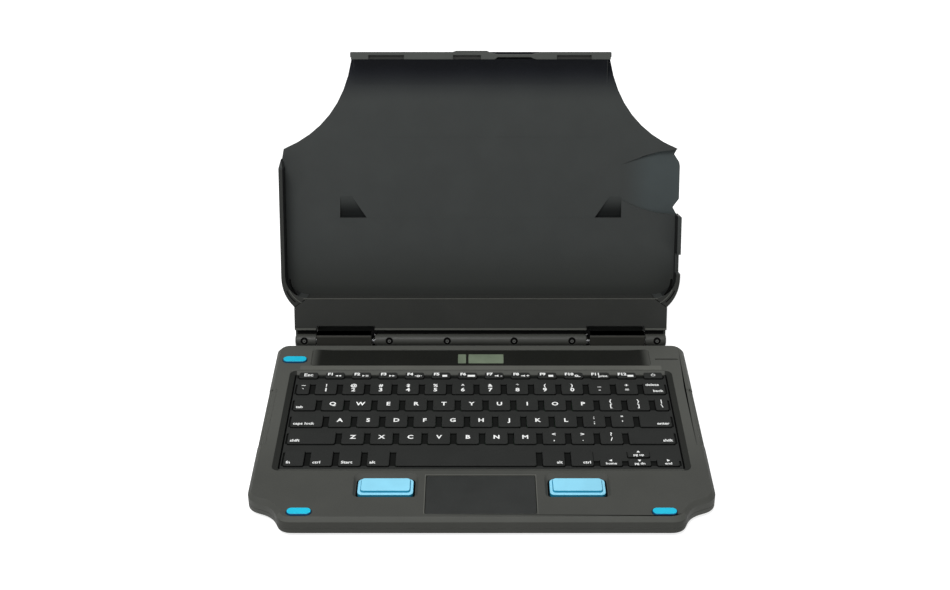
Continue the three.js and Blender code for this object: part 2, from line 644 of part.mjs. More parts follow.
const tabletKeyboard = new THREE.Group();
tabletKeyboard.add(baseGroup(), lidGroup());
tabletKeyboard.updateMatrixWorld(true);
const extent = new THREE.Box3().setFromObject(tabletKeyboard, true);
tabletKeyboard.position.y = -(extent.min.y + extent.max.y) / 2;

export default tabletKeyboard;
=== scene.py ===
# %% [markdown]
# # A rugged tablet keyboard with a tilting tray
#
# The real object is a flat keyboard base and a tray, hinged along the base's rear edge, that a field
# tablet clips into. Its frame, with every joint, is already packed. This lesson loads that frame and
# builds the looks around it, piece by piece: the camera and the light first, then the finishes, then
# the base, the keys and the lid.

# %% Load the frame
import math
import bpy
from mathutils import Matrix, Vector
from mathutils.geometry import intersect_line_line_2d


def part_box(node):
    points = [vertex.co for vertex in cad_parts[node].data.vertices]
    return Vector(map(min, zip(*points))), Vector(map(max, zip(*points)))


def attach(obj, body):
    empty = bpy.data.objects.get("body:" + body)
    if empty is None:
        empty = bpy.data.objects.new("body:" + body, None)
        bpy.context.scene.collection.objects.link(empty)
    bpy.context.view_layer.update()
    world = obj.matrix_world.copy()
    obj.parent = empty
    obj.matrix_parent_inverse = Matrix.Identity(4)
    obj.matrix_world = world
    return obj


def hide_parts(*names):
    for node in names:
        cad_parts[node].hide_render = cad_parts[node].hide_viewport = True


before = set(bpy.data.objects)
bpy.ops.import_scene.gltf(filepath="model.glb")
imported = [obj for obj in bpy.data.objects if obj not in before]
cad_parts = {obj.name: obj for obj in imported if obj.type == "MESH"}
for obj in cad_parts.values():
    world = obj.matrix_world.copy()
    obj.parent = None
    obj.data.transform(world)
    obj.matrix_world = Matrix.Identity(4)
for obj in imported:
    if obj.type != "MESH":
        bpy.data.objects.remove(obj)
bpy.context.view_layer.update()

# %% [markdown]
# Two sets of axes help. The base is laid out about its own middle, and the lid about its hinge axis,
# with y going back through the lid and z going up along it. All sizes below are in millimetres, and
# small helpers turn them into places in the frame.

# %% Places in the frame
MM = 0.001
case_low, case_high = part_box("top_case")
BASE_MIDDLE_Y = (case_low.y + case_high.y) / 2
BASE_SHIFT = Matrix.Translation((0, BASE_MIDDLE_Y, 0))
LEAN = math.radians(19.6)
LID_PLACE = Matrix.Translation((0, BASE_MIDDLE_Y + 95.8 * MM, 12 * MM)) @ Matrix.Rotation(-LEAN, 4, "X")
print("middle of the base at y =", round(BASE_MIDDLE_Y, 5))

# %% [markdown]
# The camera stands on the typist's side and looks down at 31 degrees, through a longish lens.

# %% Camera
bpy.ops.object.select_all(action="DESELECT")
bpy.ops.object.camera_add(location=(-0.0038, -0.76152, 0.5379), rotation=(math.radians(59), 0, 0))
camera = bpy.context.object
camera.name = "camera"
camera.data.lens = 54.57
camera.data.sensor_width = 36
camera.data.clip_start = 0.01
bpy.context.scene.camera = camera
print("camera at", [round(v, 3) for v in camera.location])

# %% [markdown]
# The object lies on a white sweep under soft studio light. A bright, even sky gives the open shadows,
# one large soft light above and in front gives the surfaces their shape, and a plain tone curve keeps
# the white floor white. The floor glows a little, as a lit table does, so that no grey shadow lies on it.

# %% Floor and light
bpy.ops.object.select_all(action="DESELECT")
bpy.ops.mesh.primitive_plane_add(size=8, location=(0, 1, 0))
floor = bpy.context.object
floor.name = "floor"
white = bpy.data.materials.new("white_sweep")
white.use_nodes = True
white_shader = white.node_tree.nodes["Principled BSDF"]
white_shader.inputs["Base Color"].default_value = (0.5, 0.5, 0.5, 1)
white_shader.inputs["Emission Color"].default_value = (1, 1, 1, 1)
white_shader.inputs["Emission Strength"].default_value = 0.78
white_shader.inputs["Roughness"].default_value = 0.9
white_shader.inputs["Specular IOR Level"].default_value = 0.0
floor.data.materials.append(white)

world = bpy.data.worlds.new("studio")
bpy.context.scene.world = world
world.use_nodes = True
sky = world.node_tree.nodes["Background"]
sky.inputs["Color"].default_value = (1, 1, 1, 1)
sky.inputs["Strength"].default_value = 0.44
bpy.context.scene.view_settings.view_transform = "Standard"


def soft_light(name, place, aim, size, power):
    """A square area light at a place, turned to shine at a point."""
    bpy.ops.object.select_all(action="DESELECT")
    bpy.ops.object.light_add(type="AREA", location=place)
    lamp = bpy.context.object
    lamp.name = name
    lamp.data.size = size
    lamp.data.energy = power
    lamp.rotation_euler = (Vector(aim) - Vector(place)).to_track_quat("-Z", "Y").to_euler()
    return lamp


soft_light("key_light", (-0.45, -0.75, 1.8), (0, 0, 0), 0.9, 32)
soft_light("rear_light", (0.3, 0.8, 1.6), (0, 0, 0.05), 1.0, 5)

# %% [markdown]
# Most shapes start as a primitive that is edited by hand-like steps. These helpers hold the steps that
# come back: picking faces or edges by where they are, running one edit on what is picked, rounding
# edges, painting faces, and making the blocks and cylinders that most parts start from.

# %% Editing helpers


def only(piece):
    """Selects one object and makes it active."""
    bpy.ops.object.select_all(action="DESELECT")
    piece.select_set(True)
    bpy.context.view_layer.objects.active = piece


def clear_selection(mesh):
    """Deselects every vertex, edge and face."""
    for part in (mesh.vertices, mesh.edges, mesh.polygons):
        part.foreach_set("select", [False] * len(part))


def pick(piece, faces=None, edges=None):
    """Selects the faces that pass a test on centre and normal, or the edges that pass one on both ends."""
    only(piece)
    mesh = piece.data
    clear_selection(mesh)
    if faces:
        for face in mesh.polygons:
            face.select = faces(face.center, face.normal)
    else:
        for edge in mesh.edges:
            a, b = (mesh.vertices[i] for i in edge.vertices)
            if edges(a.co, b.co):
                edge.select = a.select = b.select = True
    bpy.context.tool_settings.mesh_select_mode = (False, edges is not None, faces is not None)
    bpy.ops.object.mode_set(mode="EDIT")


def leave():
    """Goes back from editing to the whole object."""
    bpy.ops.object.mode_set(mode="OBJECT")


def apply_modifier(piece, kind, **settings):
    """Adds a modifier, sets it and applies it."""
    only(piece)
    modifier = piece.modifiers.new(kind.lower(), kind)
    for key, value in settings.items():
        setattr(modifier, key, value)
    bpy.ops.object.modifier_apply(modifier=modifier.name)


def cut_out(piece, cutter):
    """Takes the cutter's space out of the piece, and removes the cutter."""
    apply_modifier(piece, "BOOLEAN", operation="DIFFERENCE", object=cutter, solver="EXACT")
    bpy.data.objects.remove(cutter)


def join(first, *others):
    """Joins other objects into the first, which keeps its name."""
    only(first)
    for other in others:
        other.select_set(True)
    bpy.ops.object.join()
    return first


def soft_shading(piece, angle=40, flat=None):
    """Smooth over the rounded edges. Faces that pass the flat test on centre and normal stay flat."""
    only(piece)
    bpy.ops.object.shade_smooth_by_angle(angle=math.radians(angle))
    if flat:
        for face in piece.data.polygons:
            if flat(face.center, face.normal):
                face.use_smooth = False
    apply_modifier(piece, "WEIGHTED_NORMAL", keep_sharp=True)


LARGE_FACE = 15 * MM * MM


def untangle(piece, reach):
    """Merges the corners, no further apart than reach, between which the outline of a large face
    crosses itself, so that the face fills cleanly. Says whether it found such corners."""
    mesh = piece.data
    tangled = set()
    for face in mesh.polygons:
        count = len(face.vertices)
        if count < 5 or face.area < LARGE_FACE:
            continue
        turn = face.normal.to_track_quat("Z", "Y").inverted()
        outline = [(turn @ mesh.vertices[i].co / MM).xy for i in face.vertices]
        for start in range(count):
            for gap in range(2, min(7, count - 1)):
                corners = [(start + step) % count for step in (0, 1, gap, gap + 1)]
                if intersect_line_line_2d(*(outline[corner] for corner in corners)):
                    tangled.update(face.vertices[(start + step) % count] for step in range(1, gap + 1))
    if tangled:
        only(piece)
        clear_selection(mesh)
        for index in tangled:
            mesh.vertices[index].select = True
        bpy.context.tool_settings.mesh_select_mode = (True, False, False)
        bpy.ops.object.mode_set(mode="EDIT")
        bpy.ops.mesh.remove_doubles(threshold=reach * MM)
        leave()
    return bool(tangled)


def round_edges(piece, width, segments=2, angle=28, leave_out=None, flat=None):
    """Rounds every edge that is sharper than the angle, but for those that leave_out names by place."""
    only(piece)
    bpy.context.tool_settings.mesh_select_mode = (False, True, False)
    bpy.ops.object.mode_set(mode="EDIT")
    bpy.ops.mesh.select_all(action="DESELECT")
    bpy.ops.mesh.edges_select_sharp(sharpness=math.radians(angle))
    leave()
    mesh = piece.data
    if leave_out:
        for edge in mesh.edges:
            a, b = (mesh.vertices[i].co for i in edge.vertices)
            if edge.select and leave_out((a + b) / 2):
                edge.select = False
    bpy.ops.object.mode_set(mode="EDIT")
    bpy.ops.mesh.bevel(offset=width * MM, segments=segments, affect="EDGES", clamp_overlap=False)
    leave()
    for reach in (0.5, 1.0, 1.5):
        if not untangle(piece, reach):
            break
    soft_shading(piece, flat=flat)


def paint(piece, finish, test):
    """Gives a second finish to the faces that pass a test on centre and normal."""
    index = len(piece.data.materials)
    piece.data.materials.append(finish)
    for face in piece.data.polygons:
        if test(face.center, face.normal):
            face.material_index = index


def place(piece, matrix):
    """Puts a finished mesh in its place in the frame, with the object left at the origin."""
    piece.data.transform(matrix)
    piece.data.update()


def dress(part, finish, matrix):
    """Gives a part of a piece its finish and its place."""
    part.data.materials.append(finish)
    place(part, matrix)
    return part


def duplicate(pattern, name):
    """A new object with its own copy of a mesh."""
    piece = bpy.data.objects.new(name, pattern.data.copy())
    bpy.context.collection.objects.link(piece)
    return piece


def rounded_block(name, low, high, corner=0.0, rim=0.0, lean=0.0, steps=4):
    """A block between two corners, with rounded upright edges, a rounded upper rim, and sides that
    lean in by some millimetres towards the top."""
    low, high = Vector(low) * MM, Vector(high) * MM
    middle, size = (low + high) / 2, high - low
    bpy.ops.object.select_all(action="DESELECT")
    bpy.ops.mesh.primitive_cube_add(size=1, location=middle)
    piece = bpy.context.object
    piece.name = name
    piece.scale = size
    bpy.ops.object.transform_apply(location=True, rotation=True, scale=True)
    if corner:
        pick(piece, edges=lambda a, b: abs(a.z - b.z) > size.z / 2)
        bpy.ops.mesh.bevel(offset=corner * MM, segments=steps, affect="EDGES")
        leave()
    if lean:
        pick(piece, faces=lambda centre, normal: normal.z > 0.9)
        share = (1 - 2 * lean * MM / size.x, 1 - 2 * lean * MM / size.y, 1)
        bpy.ops.transform.resize(value=share, center_override=(middle.x, middle.y, high.z))
        leave()
    if rim:
        pick(piece, faces=lambda centre, normal: normal.z > 0.9)
        bpy.ops.mesh.bevel(offset=rim * MM, segments=3, affect="EDGES")
        leave()
    return piece


def cylinder(vertices, radius, depth, middle=(0, 0, 0), turn=(0, 0, 0)):
    """A cylinder with its sizes and its middle in millimetres."""
    bpy.ops.object.select_all(action="DESELECT")
    bpy.ops.mesh.primitive_cylinder_add(vertices=vertices, radius=radius * MM, depth=depth * MM,
                                        location=Vector(middle) * MM, rotation=turn)
    bpy.ops.object.transform_apply(location=True, rotation=True, scale=True)
    return bpy.context.object


print("helpers ready")

# %% [markdown]
# A casing that is already right in the frame is refined and not built again: its mesh is copied, the
# loose triangles are merged into clean faces, and each hard edge is rounded, as on a moulding.

# %% Copy of a frame piece


def copy_of(node, name):
    """A merged copy of a frame piece's mesh, with its flat faces in one piece each."""
    piece = duplicate(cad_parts[node], name)
    piece.data.materials.clear()
    only(piece)
    if piece.data.has_custom_normals:
        bpy.ops.mesh.customdata_custom_splitnormals_clear()
    bpy.context.tool_settings.mesh_select_mode = (True, False, False)
    bpy.ops.object.mode_set(mode="EDIT")
    bpy.ops.mesh.select_all(action="SELECT")
    bpy.ops.mesh.remove_doubles(threshold=2e-6)
    bpy.ops.mesh.dissolve_limited(angle_limit=math.radians(0.5))
    leave()
    return piece


def settle(piece, body, slot, *nodes):
    """Puts a finished piece on its body and hides the frame pieces that it stands for. The slot is not
    used.
    """
    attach(piece, body)
    if nodes:
        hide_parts(*nodes)
    print(f"{piece.name}: {len(piece.data.polygons)} faces")


# %% [markdown]
# ## Finishes
#
# The casing is spark-textured plastic, a fine and even pebble. One node group makes that pebble with a
# slow mottle, and every moulded finish uses it with its own size. A second group makes the faint rubbed
# patches of a tool that is carried outdoors.

# %% Shared effects


def effect(name, inputs, outputs):
    """A new node group with named inputs and outputs."""
    group = bpy.data.node_groups.new(name, "ShaderNodeTree")
    for label, kind, value in inputs:
        socket = group.interface.new_socket(label, in_out="INPUT", socket_type=kind)
        if kind == "NodeSocketFloat":
            socket.default_value = value
    for label in outputs:
        group.interface.new_socket(label, in_out="OUTPUT", socket_type="NodeSocketFloat")
    return group, group.nodes.new("NodeGroupInput"), group.nodes.new("NodeGroupOutput")


def noise(tree, vector, scale, detail=2.0, roughness=0.5):
    """A noise texture on a vector; scale is a number or another socket."""
    node = tree.nodes.new("ShaderNodeTexNoise")
    tree.links.new(vector, node.inputs["Vector"])
    if isinstance(scale, (int, float)):
        node.inputs["Scale"].default_value = scale
    else:
        tree.links.new(scale, node.inputs["Scale"])
    node.inputs["Detail"].default_value = detail
    node.inputs["Roughness"].default_value = roughness
    return node.outputs["Fac"]


def remap(tree, value, low, high, to_low=0.0, to_high=1.0):
    """Stretches a value from one range to another, smoothly and clamped."""
    node = tree.nodes.new("ShaderNodeMapRange")
    node.interpolation_type = "SMOOTHSTEP"
    tree.links.new(value, node.inputs["Value"])
    for label, number in (("From Min", low), ("From Max", high), ("To Min", to_low), ("To Max", to_high)):
        node.inputs[label].default_value = number
    return node.outputs["Result"]


pebble, pebble_in, pebble_out = effect(
    "pebble", [("Vector", "NodeSocketVector", None), ("Size", "NodeSocketFloat", 1200.0)],
    ["Height", "Mottle"])
fine = noise(pebble, pebble_in.outputs["Vector"], pebble_in.outputs["Size"], 3.0, 0.6)
slow = noise(pebble, pebble_in.outputs["Vector"], 55.0, 2.0)
pebble.links.new(fine, pebble_out.inputs["Height"])
pebble.links.new(slow, pebble_out.inputs["Mottle"])

rubbed, rubbed_in, rubbed_out = effect(
    "rubbed", [("Vector", "NodeSocketVector", None), ("Size", "NodeSocketFloat", 30.0)], ["Mask"])
patch = noise(rubbed, rubbed_in.outputs["Vector"], rubbed_in.outputs["Size"], 4.0, 0.65)
rubbed.links.new(remap(rubbed, patch, 0.5, 0.72), rubbed_out.inputs["Mask"])
print("effects:", [group.name for group in bpy.data.node_groups])

# %% [markdown]
# A finish is a Principled shader fed by those effects. The recipe below mixes a darker and a lighter tone
# of one colour by the mottle, lightens the rubbed patches a little, and lets the pebble move the roughness
# and the normal. A second recipe lets a finish fade into another tone across the object. It paints shade
# and light into the colour, such as the soft shade under an edge.

# %% The moulded finish


def moulded(name, colour, roughness=0.6, specular=0.3, size=1200.0, depth=0.10, contrast=0.03, rub=0.03):
    """A moulded plastic or rubber finish in one colour."""
    material = bpy.data.materials.new(name)
    material.use_nodes = True
    tree = material.node_tree
    shader = tree.nodes["Principled BSDF"]
    shader.inputs["Specular IOR Level"].default_value = specular
    coordinates = tree.nodes.new("ShaderNodeTexCoord").outputs["Object"]
    grain = tree.nodes.new("ShaderNodeGroup")
    grain.node_tree = pebble
    grain.inputs["Size"].default_value = size
    tree.links.new(coordinates, grain.inputs["Vector"])
    worn = tree.nodes.new("ShaderNodeGroup")
    worn.node_tree = rubbed
    tree.links.new(coordinates, worn.inputs["Vector"])
    tone = tree.nodes.new("ShaderNodeMix")
    tone.data_type = "RGBA"
    tree.links.new(remap(tree, grain.outputs["Mottle"], 0.3, 0.7), tone.inputs["Factor"])
    tone.inputs[6].default_value = (*[c * (1 - contrast) for c in colour], 1)
    tone.inputs[7].default_value = (*[c * (1 + contrast) for c in colour], 1)
    worn_tone = tree.nodes.new("ShaderNodeMix")
    worn_tone.data_type = "RGBA"
    tree.links.new(remap(tree, worn.outputs["Mask"], 0, 1, 0, rub), worn_tone.inputs["Factor"])
    tree.links.new(tone.outputs[2], worn_tone.inputs[6])
    worn_tone.inputs[7].default_value = (*[min(1, c * 1.9 + 0.02) for c in colour], 1)
    tree.links.new(worn_tone.outputs[2], shader.inputs["Base Color"])
    tree.links.new(remap(tree, grain.outputs["Height"], 0.3, 0.7, roughness - 0.06, roughness + 0.06),
                   shader.inputs["Roughness"])
    bump = tree.nodes.new("ShaderNodeBump")
    bump.inputs["Strength"].default_value = depth
    bump.inputs["Distance"].default_value = 0.0004
    tree.links.new(grain.outputs["Height"], bump.inputs["Height"])
    tree.links.new(bump.outputs["Normal"], shader.inputs["Normal"])
    return material


def fade_to(material, colour, direction, start, end, both_sides=False):
    """Lets a finish turn into another colour along a direction (mm), or from the middle to both sides."""
    tree = material.node_tree
    shader = tree.nodes["Principled BSDF"]
    before = shader.inputs["Base Color"].links[0].from_socket
    along = tree.nodes.new("ShaderNodeVectorMath")
    along.operation = "DOT_PRODUCT"
    tree.links.new(tree.nodes["Texture Coordinate"].outputs["Object"], along.inputs[0])
    along.inputs[1].default_value = direction
    distance = along.outputs["Value"]
    if both_sides:
        size = tree.nodes.new("ShaderNodeMath")
        size.operation = "ABSOLUTE"
        tree.links.new(distance, size.inputs[0])
        distance = size.outputs[0]
    mix = tree.nodes.new("ShaderNodeMix")
    mix.data_type = "RGBA"
    tree.links.new(remap(tree, distance, start * MM, end * MM), mix.inputs["Factor"])
    tree.links.new(before, mix.inputs[6])
    mix.inputs[7].default_value = (*colour, 1)
    tree.links.new(mix.outputs[2], shader.inputs["Base Color"])


# The casing's own olive, painted lighter towards the rear as light, and black along the deck's rear edge as
# the shadow under the lid.
case_olive_painted_light_and_shade = moulded("case_olive_painted_light_and_shade", (0.047, 0.0485, 0.0435), 0.62, 0.2)
fade_to(case_olive_painted_light_and_shade, (0.064, 0.066, 0.059), (0, 1, 0), -100, -30)
fade_to(case_olive_painted_light_and_shade, (0.006, 0.006, 0.006), (0, 1, 0), 48.3, 49.2)
# A darker copy of the casing, painted on the upright front faces as shade.
flank_painted_shade = moulded("flank_painted_shade", (0.032, 0.033, 0.029), 0.62, 0.15)
# A lighter copy of the casing, painted on the front chamfer as a highlight.
chamfer_painted_highlight = moulded("chamfer_painted_highlight", (0.056, 0.058, 0.052), 0.62, 0.2)
# A light olive painted on the ridge and round the touchpad as a highlight.
painted_highlight_olive = moulded("painted_highlight_olive", (0.088, 0.090, 0.080), 0.62, 0.2)
# A dark olive painted on the collar's side ends as shade.
collar_painted_shade = moulded("collar_painted_shade", (0.018, 0.019, 0.017), 0.62, 0.1)
# Painted shade for the sunk strip.
strip_painted_shade = moulded("strip_painted_shade", (0.009, 0.0095, 0.008), 0.55, 0.1)
LID_TONE = (0.034, 0.037, 0.036)
lid_grey = moulded("lid_grey", LID_TONE, 0.6, 0.15)
# How far up the lid a point lies is its dot product with this direction, less the start in mm.
UP_THE_LID = (0, math.sin(LEAN), math.cos(LEAN))
LID_ZERO = 29.6
# The tray's own grey, painted darker near its foot as shade and nearly black under the bar as its shadow.
tray_painted_shade = moulded("tray_painted_shade", LID_TONE, 0.6, 0.15)
fade_to(tray_painted_shade, (0.023, 0.025, 0.023), UP_THE_LID, LID_ZERO + 70, LID_ZERO + 26)
fade_to(tray_painted_shade, (0.004, 0.005, 0.008), UP_THE_LID, LID_ZERO + 158, LID_ZERO + 181)
# The scoop's floor, painted lighter and bluer as light, fading to the tray's tone towards the middle.
scoop_painted_light = moulded("scoop_painted_light", (0.042, 0.051, 0.052), 0.6, 0.15)
fade_to(scoop_painted_light, LID_TONE, (1, 0, 0), 116, 93)
# A dark tone painted as shade on the scoop's upper edge and the pocket's inner walls.
edge_painted_shade = moulded("edge_painted_shade", (0.014, 0.015, 0.015), 0.6, 0.1)
# The finger recess, painted nearly black as shade at its foot and fading to the tray's tone higher up.
recess_painted_shade = moulded("recess_painted_shade", (0.005, 0.006, 0.006), 0.6, 0.1)
fade_to(recess_painted_shade, LID_TONE, UP_THE_LID, LID_ZERO + 84, LID_ZERO + 96)
# The spine's own dark tone, also painted in the bar's windows as shade.
cover_black_and_painted_shade = moulded("cover_black_and_painted_shade", (0.024, 0.025, 0.023), 0.6, 0.15)
# A lighter olive painted on the barrels as a highlight.
barrel_painted_highlight = moulded("barrel_painted_highlight", (0.032, 0.033, 0.029), 0.5, 0.3)
# A light olive painted on the spine's lips, the bead and a ring at each pocket corner as a highlight.
lip_painted_highlight = moulded("lip_painted_highlight", (0.066, 0.068, 0.060), 0.5, 0.3)
tower_olive = moulded("tower_olive", (0.030, 0.030, 0.026), 0.65, 0.1)
retainer_olive = moulded("retainer_olive", (0.050, 0.054, 0.050), 0.6, 0.2)
key_rubber = moulded("key_rubber", (0.019, 0.020, 0.019), 0.75, 0.12, 1600.0, 0.06, 0.04, 0.03)
# Near black, painted as shade in gaps, holes, grooves, slits and hollows.
gap_painted_shade = moulded("gap_painted_shade", (0.004, 0.004, 0.004), 0.9, 0.0)
# A dark tone painted in the channels between keys as shade.
channel_painted_shade = moulded("channel_painted_shade", (0.009, 0.0095, 0.009), 0.9, 0.0)
pad_film = moulded("pad_film", (0.020, 0.0215, 0.0205), 0.45, 0.2, 2600.0, 0.2, 0.08, 0.03)
click_blue = moulded("click_blue", (0.23, 0.57, 0.74), 0.5, 0.2, 1200.0, 0.04, 0.05, 0.1)
# A deeper blue painted on the click buttons' flanks as shade.
click_painted_shade = moulded("click_painted_shade", (0.012, 0.22, 0.36), 0.5, 0.2, 1200.0, 0.04, 0.05, 0.1)
bumper_cyan = moulded("bumper_cyan", (0.005, 0.42, 0.60), 0.55, 0.25, 1400.0, 0.04, 0.06, 0.06)
# A dark navy painted on the pads' sides as shade.
bumper_painted_shade = moulded("bumper_painted_shade", (0.003, 0.06, 0.14), 0.55, 0.2, 1400.0, 0.04, 0.06, 0.06)
foot_rubber = moulded("foot_rubber", (0.016, 0.016, 0.016), 0.85, 0.2)
legend_ink = moulded("legend_ink", (0.80, 0.81, 0.80), 0.6, 0.2, 1600.0, 0.02, 0.05, 0.0)
plate_grey = moulded("plate_grey", (0.115, 0.145, 0.10), 0.45, 0.3, 1400.0, 0.04, 0.08, 0.2)
screw_black = moulded("screw_black", (0.075, 0.077, 0.072), 0.4, 0.4)
print(len(bpy.data.materials), "finishes")

# %% [markdown]
# ## The base
#
# The deck and the bottom case are the two halves of the casing. Their shapes come from the frame, and
# the rims where they meet are set level, with a thin seam between them. The deck also gets a dished rim
# round each click button, which the thumb feels before it finds the button.

# %% Deck


def rim_dish(side):
    """A cutter round a click button's opening that flares at the sides, and most towards the rear."""
    middle = side * 55.65
    dish = rounded_block("dish", (middle - 17.6, -70.5, 11.0), (middle + 17.6, -52.9, 12.9), 3)
    pick(dish, faces=lambda centre, normal: normal.z > 0.9)
    bpy.ops.transform.resize(value=(19.2 / 17.6, 11.35 / 8.8, 1),
                             center_override=(middle * MM, -61.7 * MM, 12.9 * MM))
    bpy.ops.transform.translate(value=(0, 2.25 * MM, 0))
    leave()
    return dish


def level(piece, low, high, target):
    """Moves the vertices that lie between two heights to one height."""
    for vertex in piece.data.vertices:
        if low * MM < vertex.co.z < high * MM:
            vertex.co.z = target * MM
    piece.data.update()


SIDES = ((-1, "left"), (1, "right"))
DECK_RIM = 5.56
BOTTOM_RIM = 5.60
deck = copy_of("top_case", "deck")
for side, _ in SIDES:
    dish = rim_dish(side)
    place(dish, BASE_SHIFT)
    cut_out(deck, dish)
level(deck, 5.7, 6.0, DECK_RIM)
round_edges(deck, 0.4, leave_out=lambda middle: middle.z < 5.7 * MM,
            flat=lambda centre, normal: normal.z > 0.995)
deck.data.materials.append(case_olive_painted_light_and_shade)
FRONT = BASE_MIDDLE_Y - 85 * MM
# The deck's front chamfer is painted lighter as a highlight.
paint(deck, chamfer_painted_highlight, lambda centre, normal: centre.y < FRONT and 0.35 < normal.z < 0.93)
# The deck's upright front faces are painted darker as shade.
paint(deck, flank_painted_shade, lambda centre, normal: centre.y < FRONT and abs(normal.z) <= 0.35)
settle(deck, "base", "case", "top_case")

bottom = copy_of("bottom_case", "bottom_shell")
level(bottom, 5.4, 5.7, BOTTOM_RIM)
round_edges(bottom, 0.4, leave_out=lambda middle: middle.z > 5.5 * MM,
            flat=lambda centre, normal: normal.z < -0.995)
bottom.data.materials.append(case_olive_painted_light_and_shade)
# The bottom's front faces are painted darker as shade.
paint(bottom, flank_painted_shade, lambda centre, normal: centre.y < FRONT)
settle(bottom, "base", "case", "bottom_case")

# %% [markdown]
# A sloping collar leads from the deck down to the keyboard mat. It is a block with its corners rounded,
# whose upper and lower faces are inset by the same amount and bridged, which makes a closed ring. The
# inner loop is then lowered.

# %% Collar round the keys


def ring(name, low, high, corner, inset, drop):
    """A closed ring with a top that slopes down towards its hole."""
    piece = rounded_block(name, low, high, corner)
    pick(piece, faces=lambda centre, normal: abs(normal.z) > 0.9)
    bpy.ops.mesh.inset(thickness=inset * MM, use_boundary=True)
    bpy.ops.mesh.bridge_edge_loops()
    leave()
    top = high[2] * MM
    inner = (high[0] - inset * 0.6) * MM
    depth_low, depth_high = (low[1] + inset * 0.6) * MM, (high[1] - inset * 0.6) * MM
    for vertex in piece.data.vertices:
        inside = abs(vertex.co.x) < inner and depth_low < vertex.co.y < depth_high
        if inside and abs(vertex.co.z - top) < 1e-5:
            vertex.co.z -= drop * MM
    piece.data.update()
    return piece


collar = ring("well_collar", (-124.3, -46.7, 9.9), (124.3, 59.6, 12.4), 4.4, 3.6, 1.4)
place(collar, BASE_SHIFT)
soft_shading(collar)
# The collar's ends beside the keys are painted dark as shade. Its front and rear slopes keep the casing's
# finish.
collar.data.materials.append(collar_painted_shade)
paint(collar, case_olive_painted_light_and_shade, lambda centre, normal: abs(centre.x) < 119.4 * MM)
settle(collar, "base", "case")

# %% [markdown]
# Behind the keys a strip is let into the deck. It slopes down towards the rear, and its two ends ramp up to
# the level of the deck. The strip is painted dark as shade, and at its ends the painted shade fades into
# the tone of the casing. A low ridge, painted lighter as a highlight, stands between the strip and the
# keys.

# %% Sunk strip
strip = rounded_block("sunk_strip", (-111.3, 64.9, 11.82), (111.3, 83.7, 12.3), 1.6)
for x in (-111, -105, -98, 98, 105, 111):
    only(strip)
    bpy.context.tool_settings.mesh_select_mode = (True, False, False)
    bpy.ops.object.mode_set(mode="EDIT")
    bpy.ops.mesh.select_all(action="SELECT")
    bpy.ops.mesh.bisect(plane_co=(x * MM, 0, 0), plane_no=(1, 0, 0))
    leave()
for vertex in strip.data.vertices:
    if vertex.co.z > 12 * MM:
        far = abs(vertex.co.x) / MM
        back = (vertex.co.y / MM - 64.9) / 18.8
        sunk = 0.42 * max(0.0, min(1.0, back))
        raised = max(0.0, min(1.0, (far - 98) / 13))
        vertex.co.z = (12.3 - sunk + raised * (0.17 + sunk)) * MM
strip.data.update()
place(strip, BASE_SHIFT)
soft_shading(strip, 20)
# The strip is painted dark as shade, fading out at its ends.
strip.data.materials.append(strip_painted_shade)
fade_to(strip_painted_shade, (0.058, 0.060, 0.054), (1, 0, 0), 105, 112, both_sides=True)
# The ridge is painted lighter as a highlight.
ridge = rounded_block("ridge", (-118, 59.8, 12.0), (118, 64.4, 12.58), 0.8, 0.12)
ridge.data.materials.append(painted_highlight_olive)
place(ridge, BASE_SHIFT)
join(strip, ridge)
settle(strip, "base", "case")

# %% [markdown]
# ## The keys
#
# The keyboard looks like one piece of rubber. Letter keys and the space bar move on their own, and the rest
# are moulded on the mat. One key is modelled and copied: its foot is narrower than its cap, so that a
# thin shadow line runs under each cap's edge. A copy is stretched at its middle, which keeps the corner
# radii the same on wide and narrow keys.

# %% Key layout
KEY_TOP = 12.0
KEY_FOOT = 8.9
EDGE_MARGIN = 1.5
MAT_TOP = 10.8
BLOCK_HALF = 117.75
KEY_WIDTH, KEY_DEPTH = 13.7, 12.6
HALF_KEY = 6.6
END_GAP = 1.2
F_KEYS = ["esc"] + [f"f{n}" for n in range(1, 13)] + ["power"]
ROWS = [
    (51.0, 6.4, [(name, 12.0) for name in F_KEYS]),
    (33.3, 12.6, [("grave", 8.0), *"1234567890", "minus", "equals", "delete"]),
    (15.6, 12.6, ["tab", *"qwertyuiop", "open", "close", ("bar", 8.0)]),
    (-1.9, 12.6, [("caps", 19.6), *"asdfghjkl", "semicolon", "quote", ("enter", 19.6)]),
    (-19.3, 12.6, [("shift_left", 28.9), *"zxcvbnm", "comma", "stop", "slash", ("shift_right", 27.8)]),
    (-40.9, 15.0, [("fn", 11.9), ("ctrl_left", 13.2), ("start", 13.2), ("alt_left", 13.2), ("space", 83.8),
                   ("alt_right", 13.2), ("ctrl_right", 13.2), ("left", 13.2), ("up_down", 13.2),
                   ("right", 13.2)]),
]


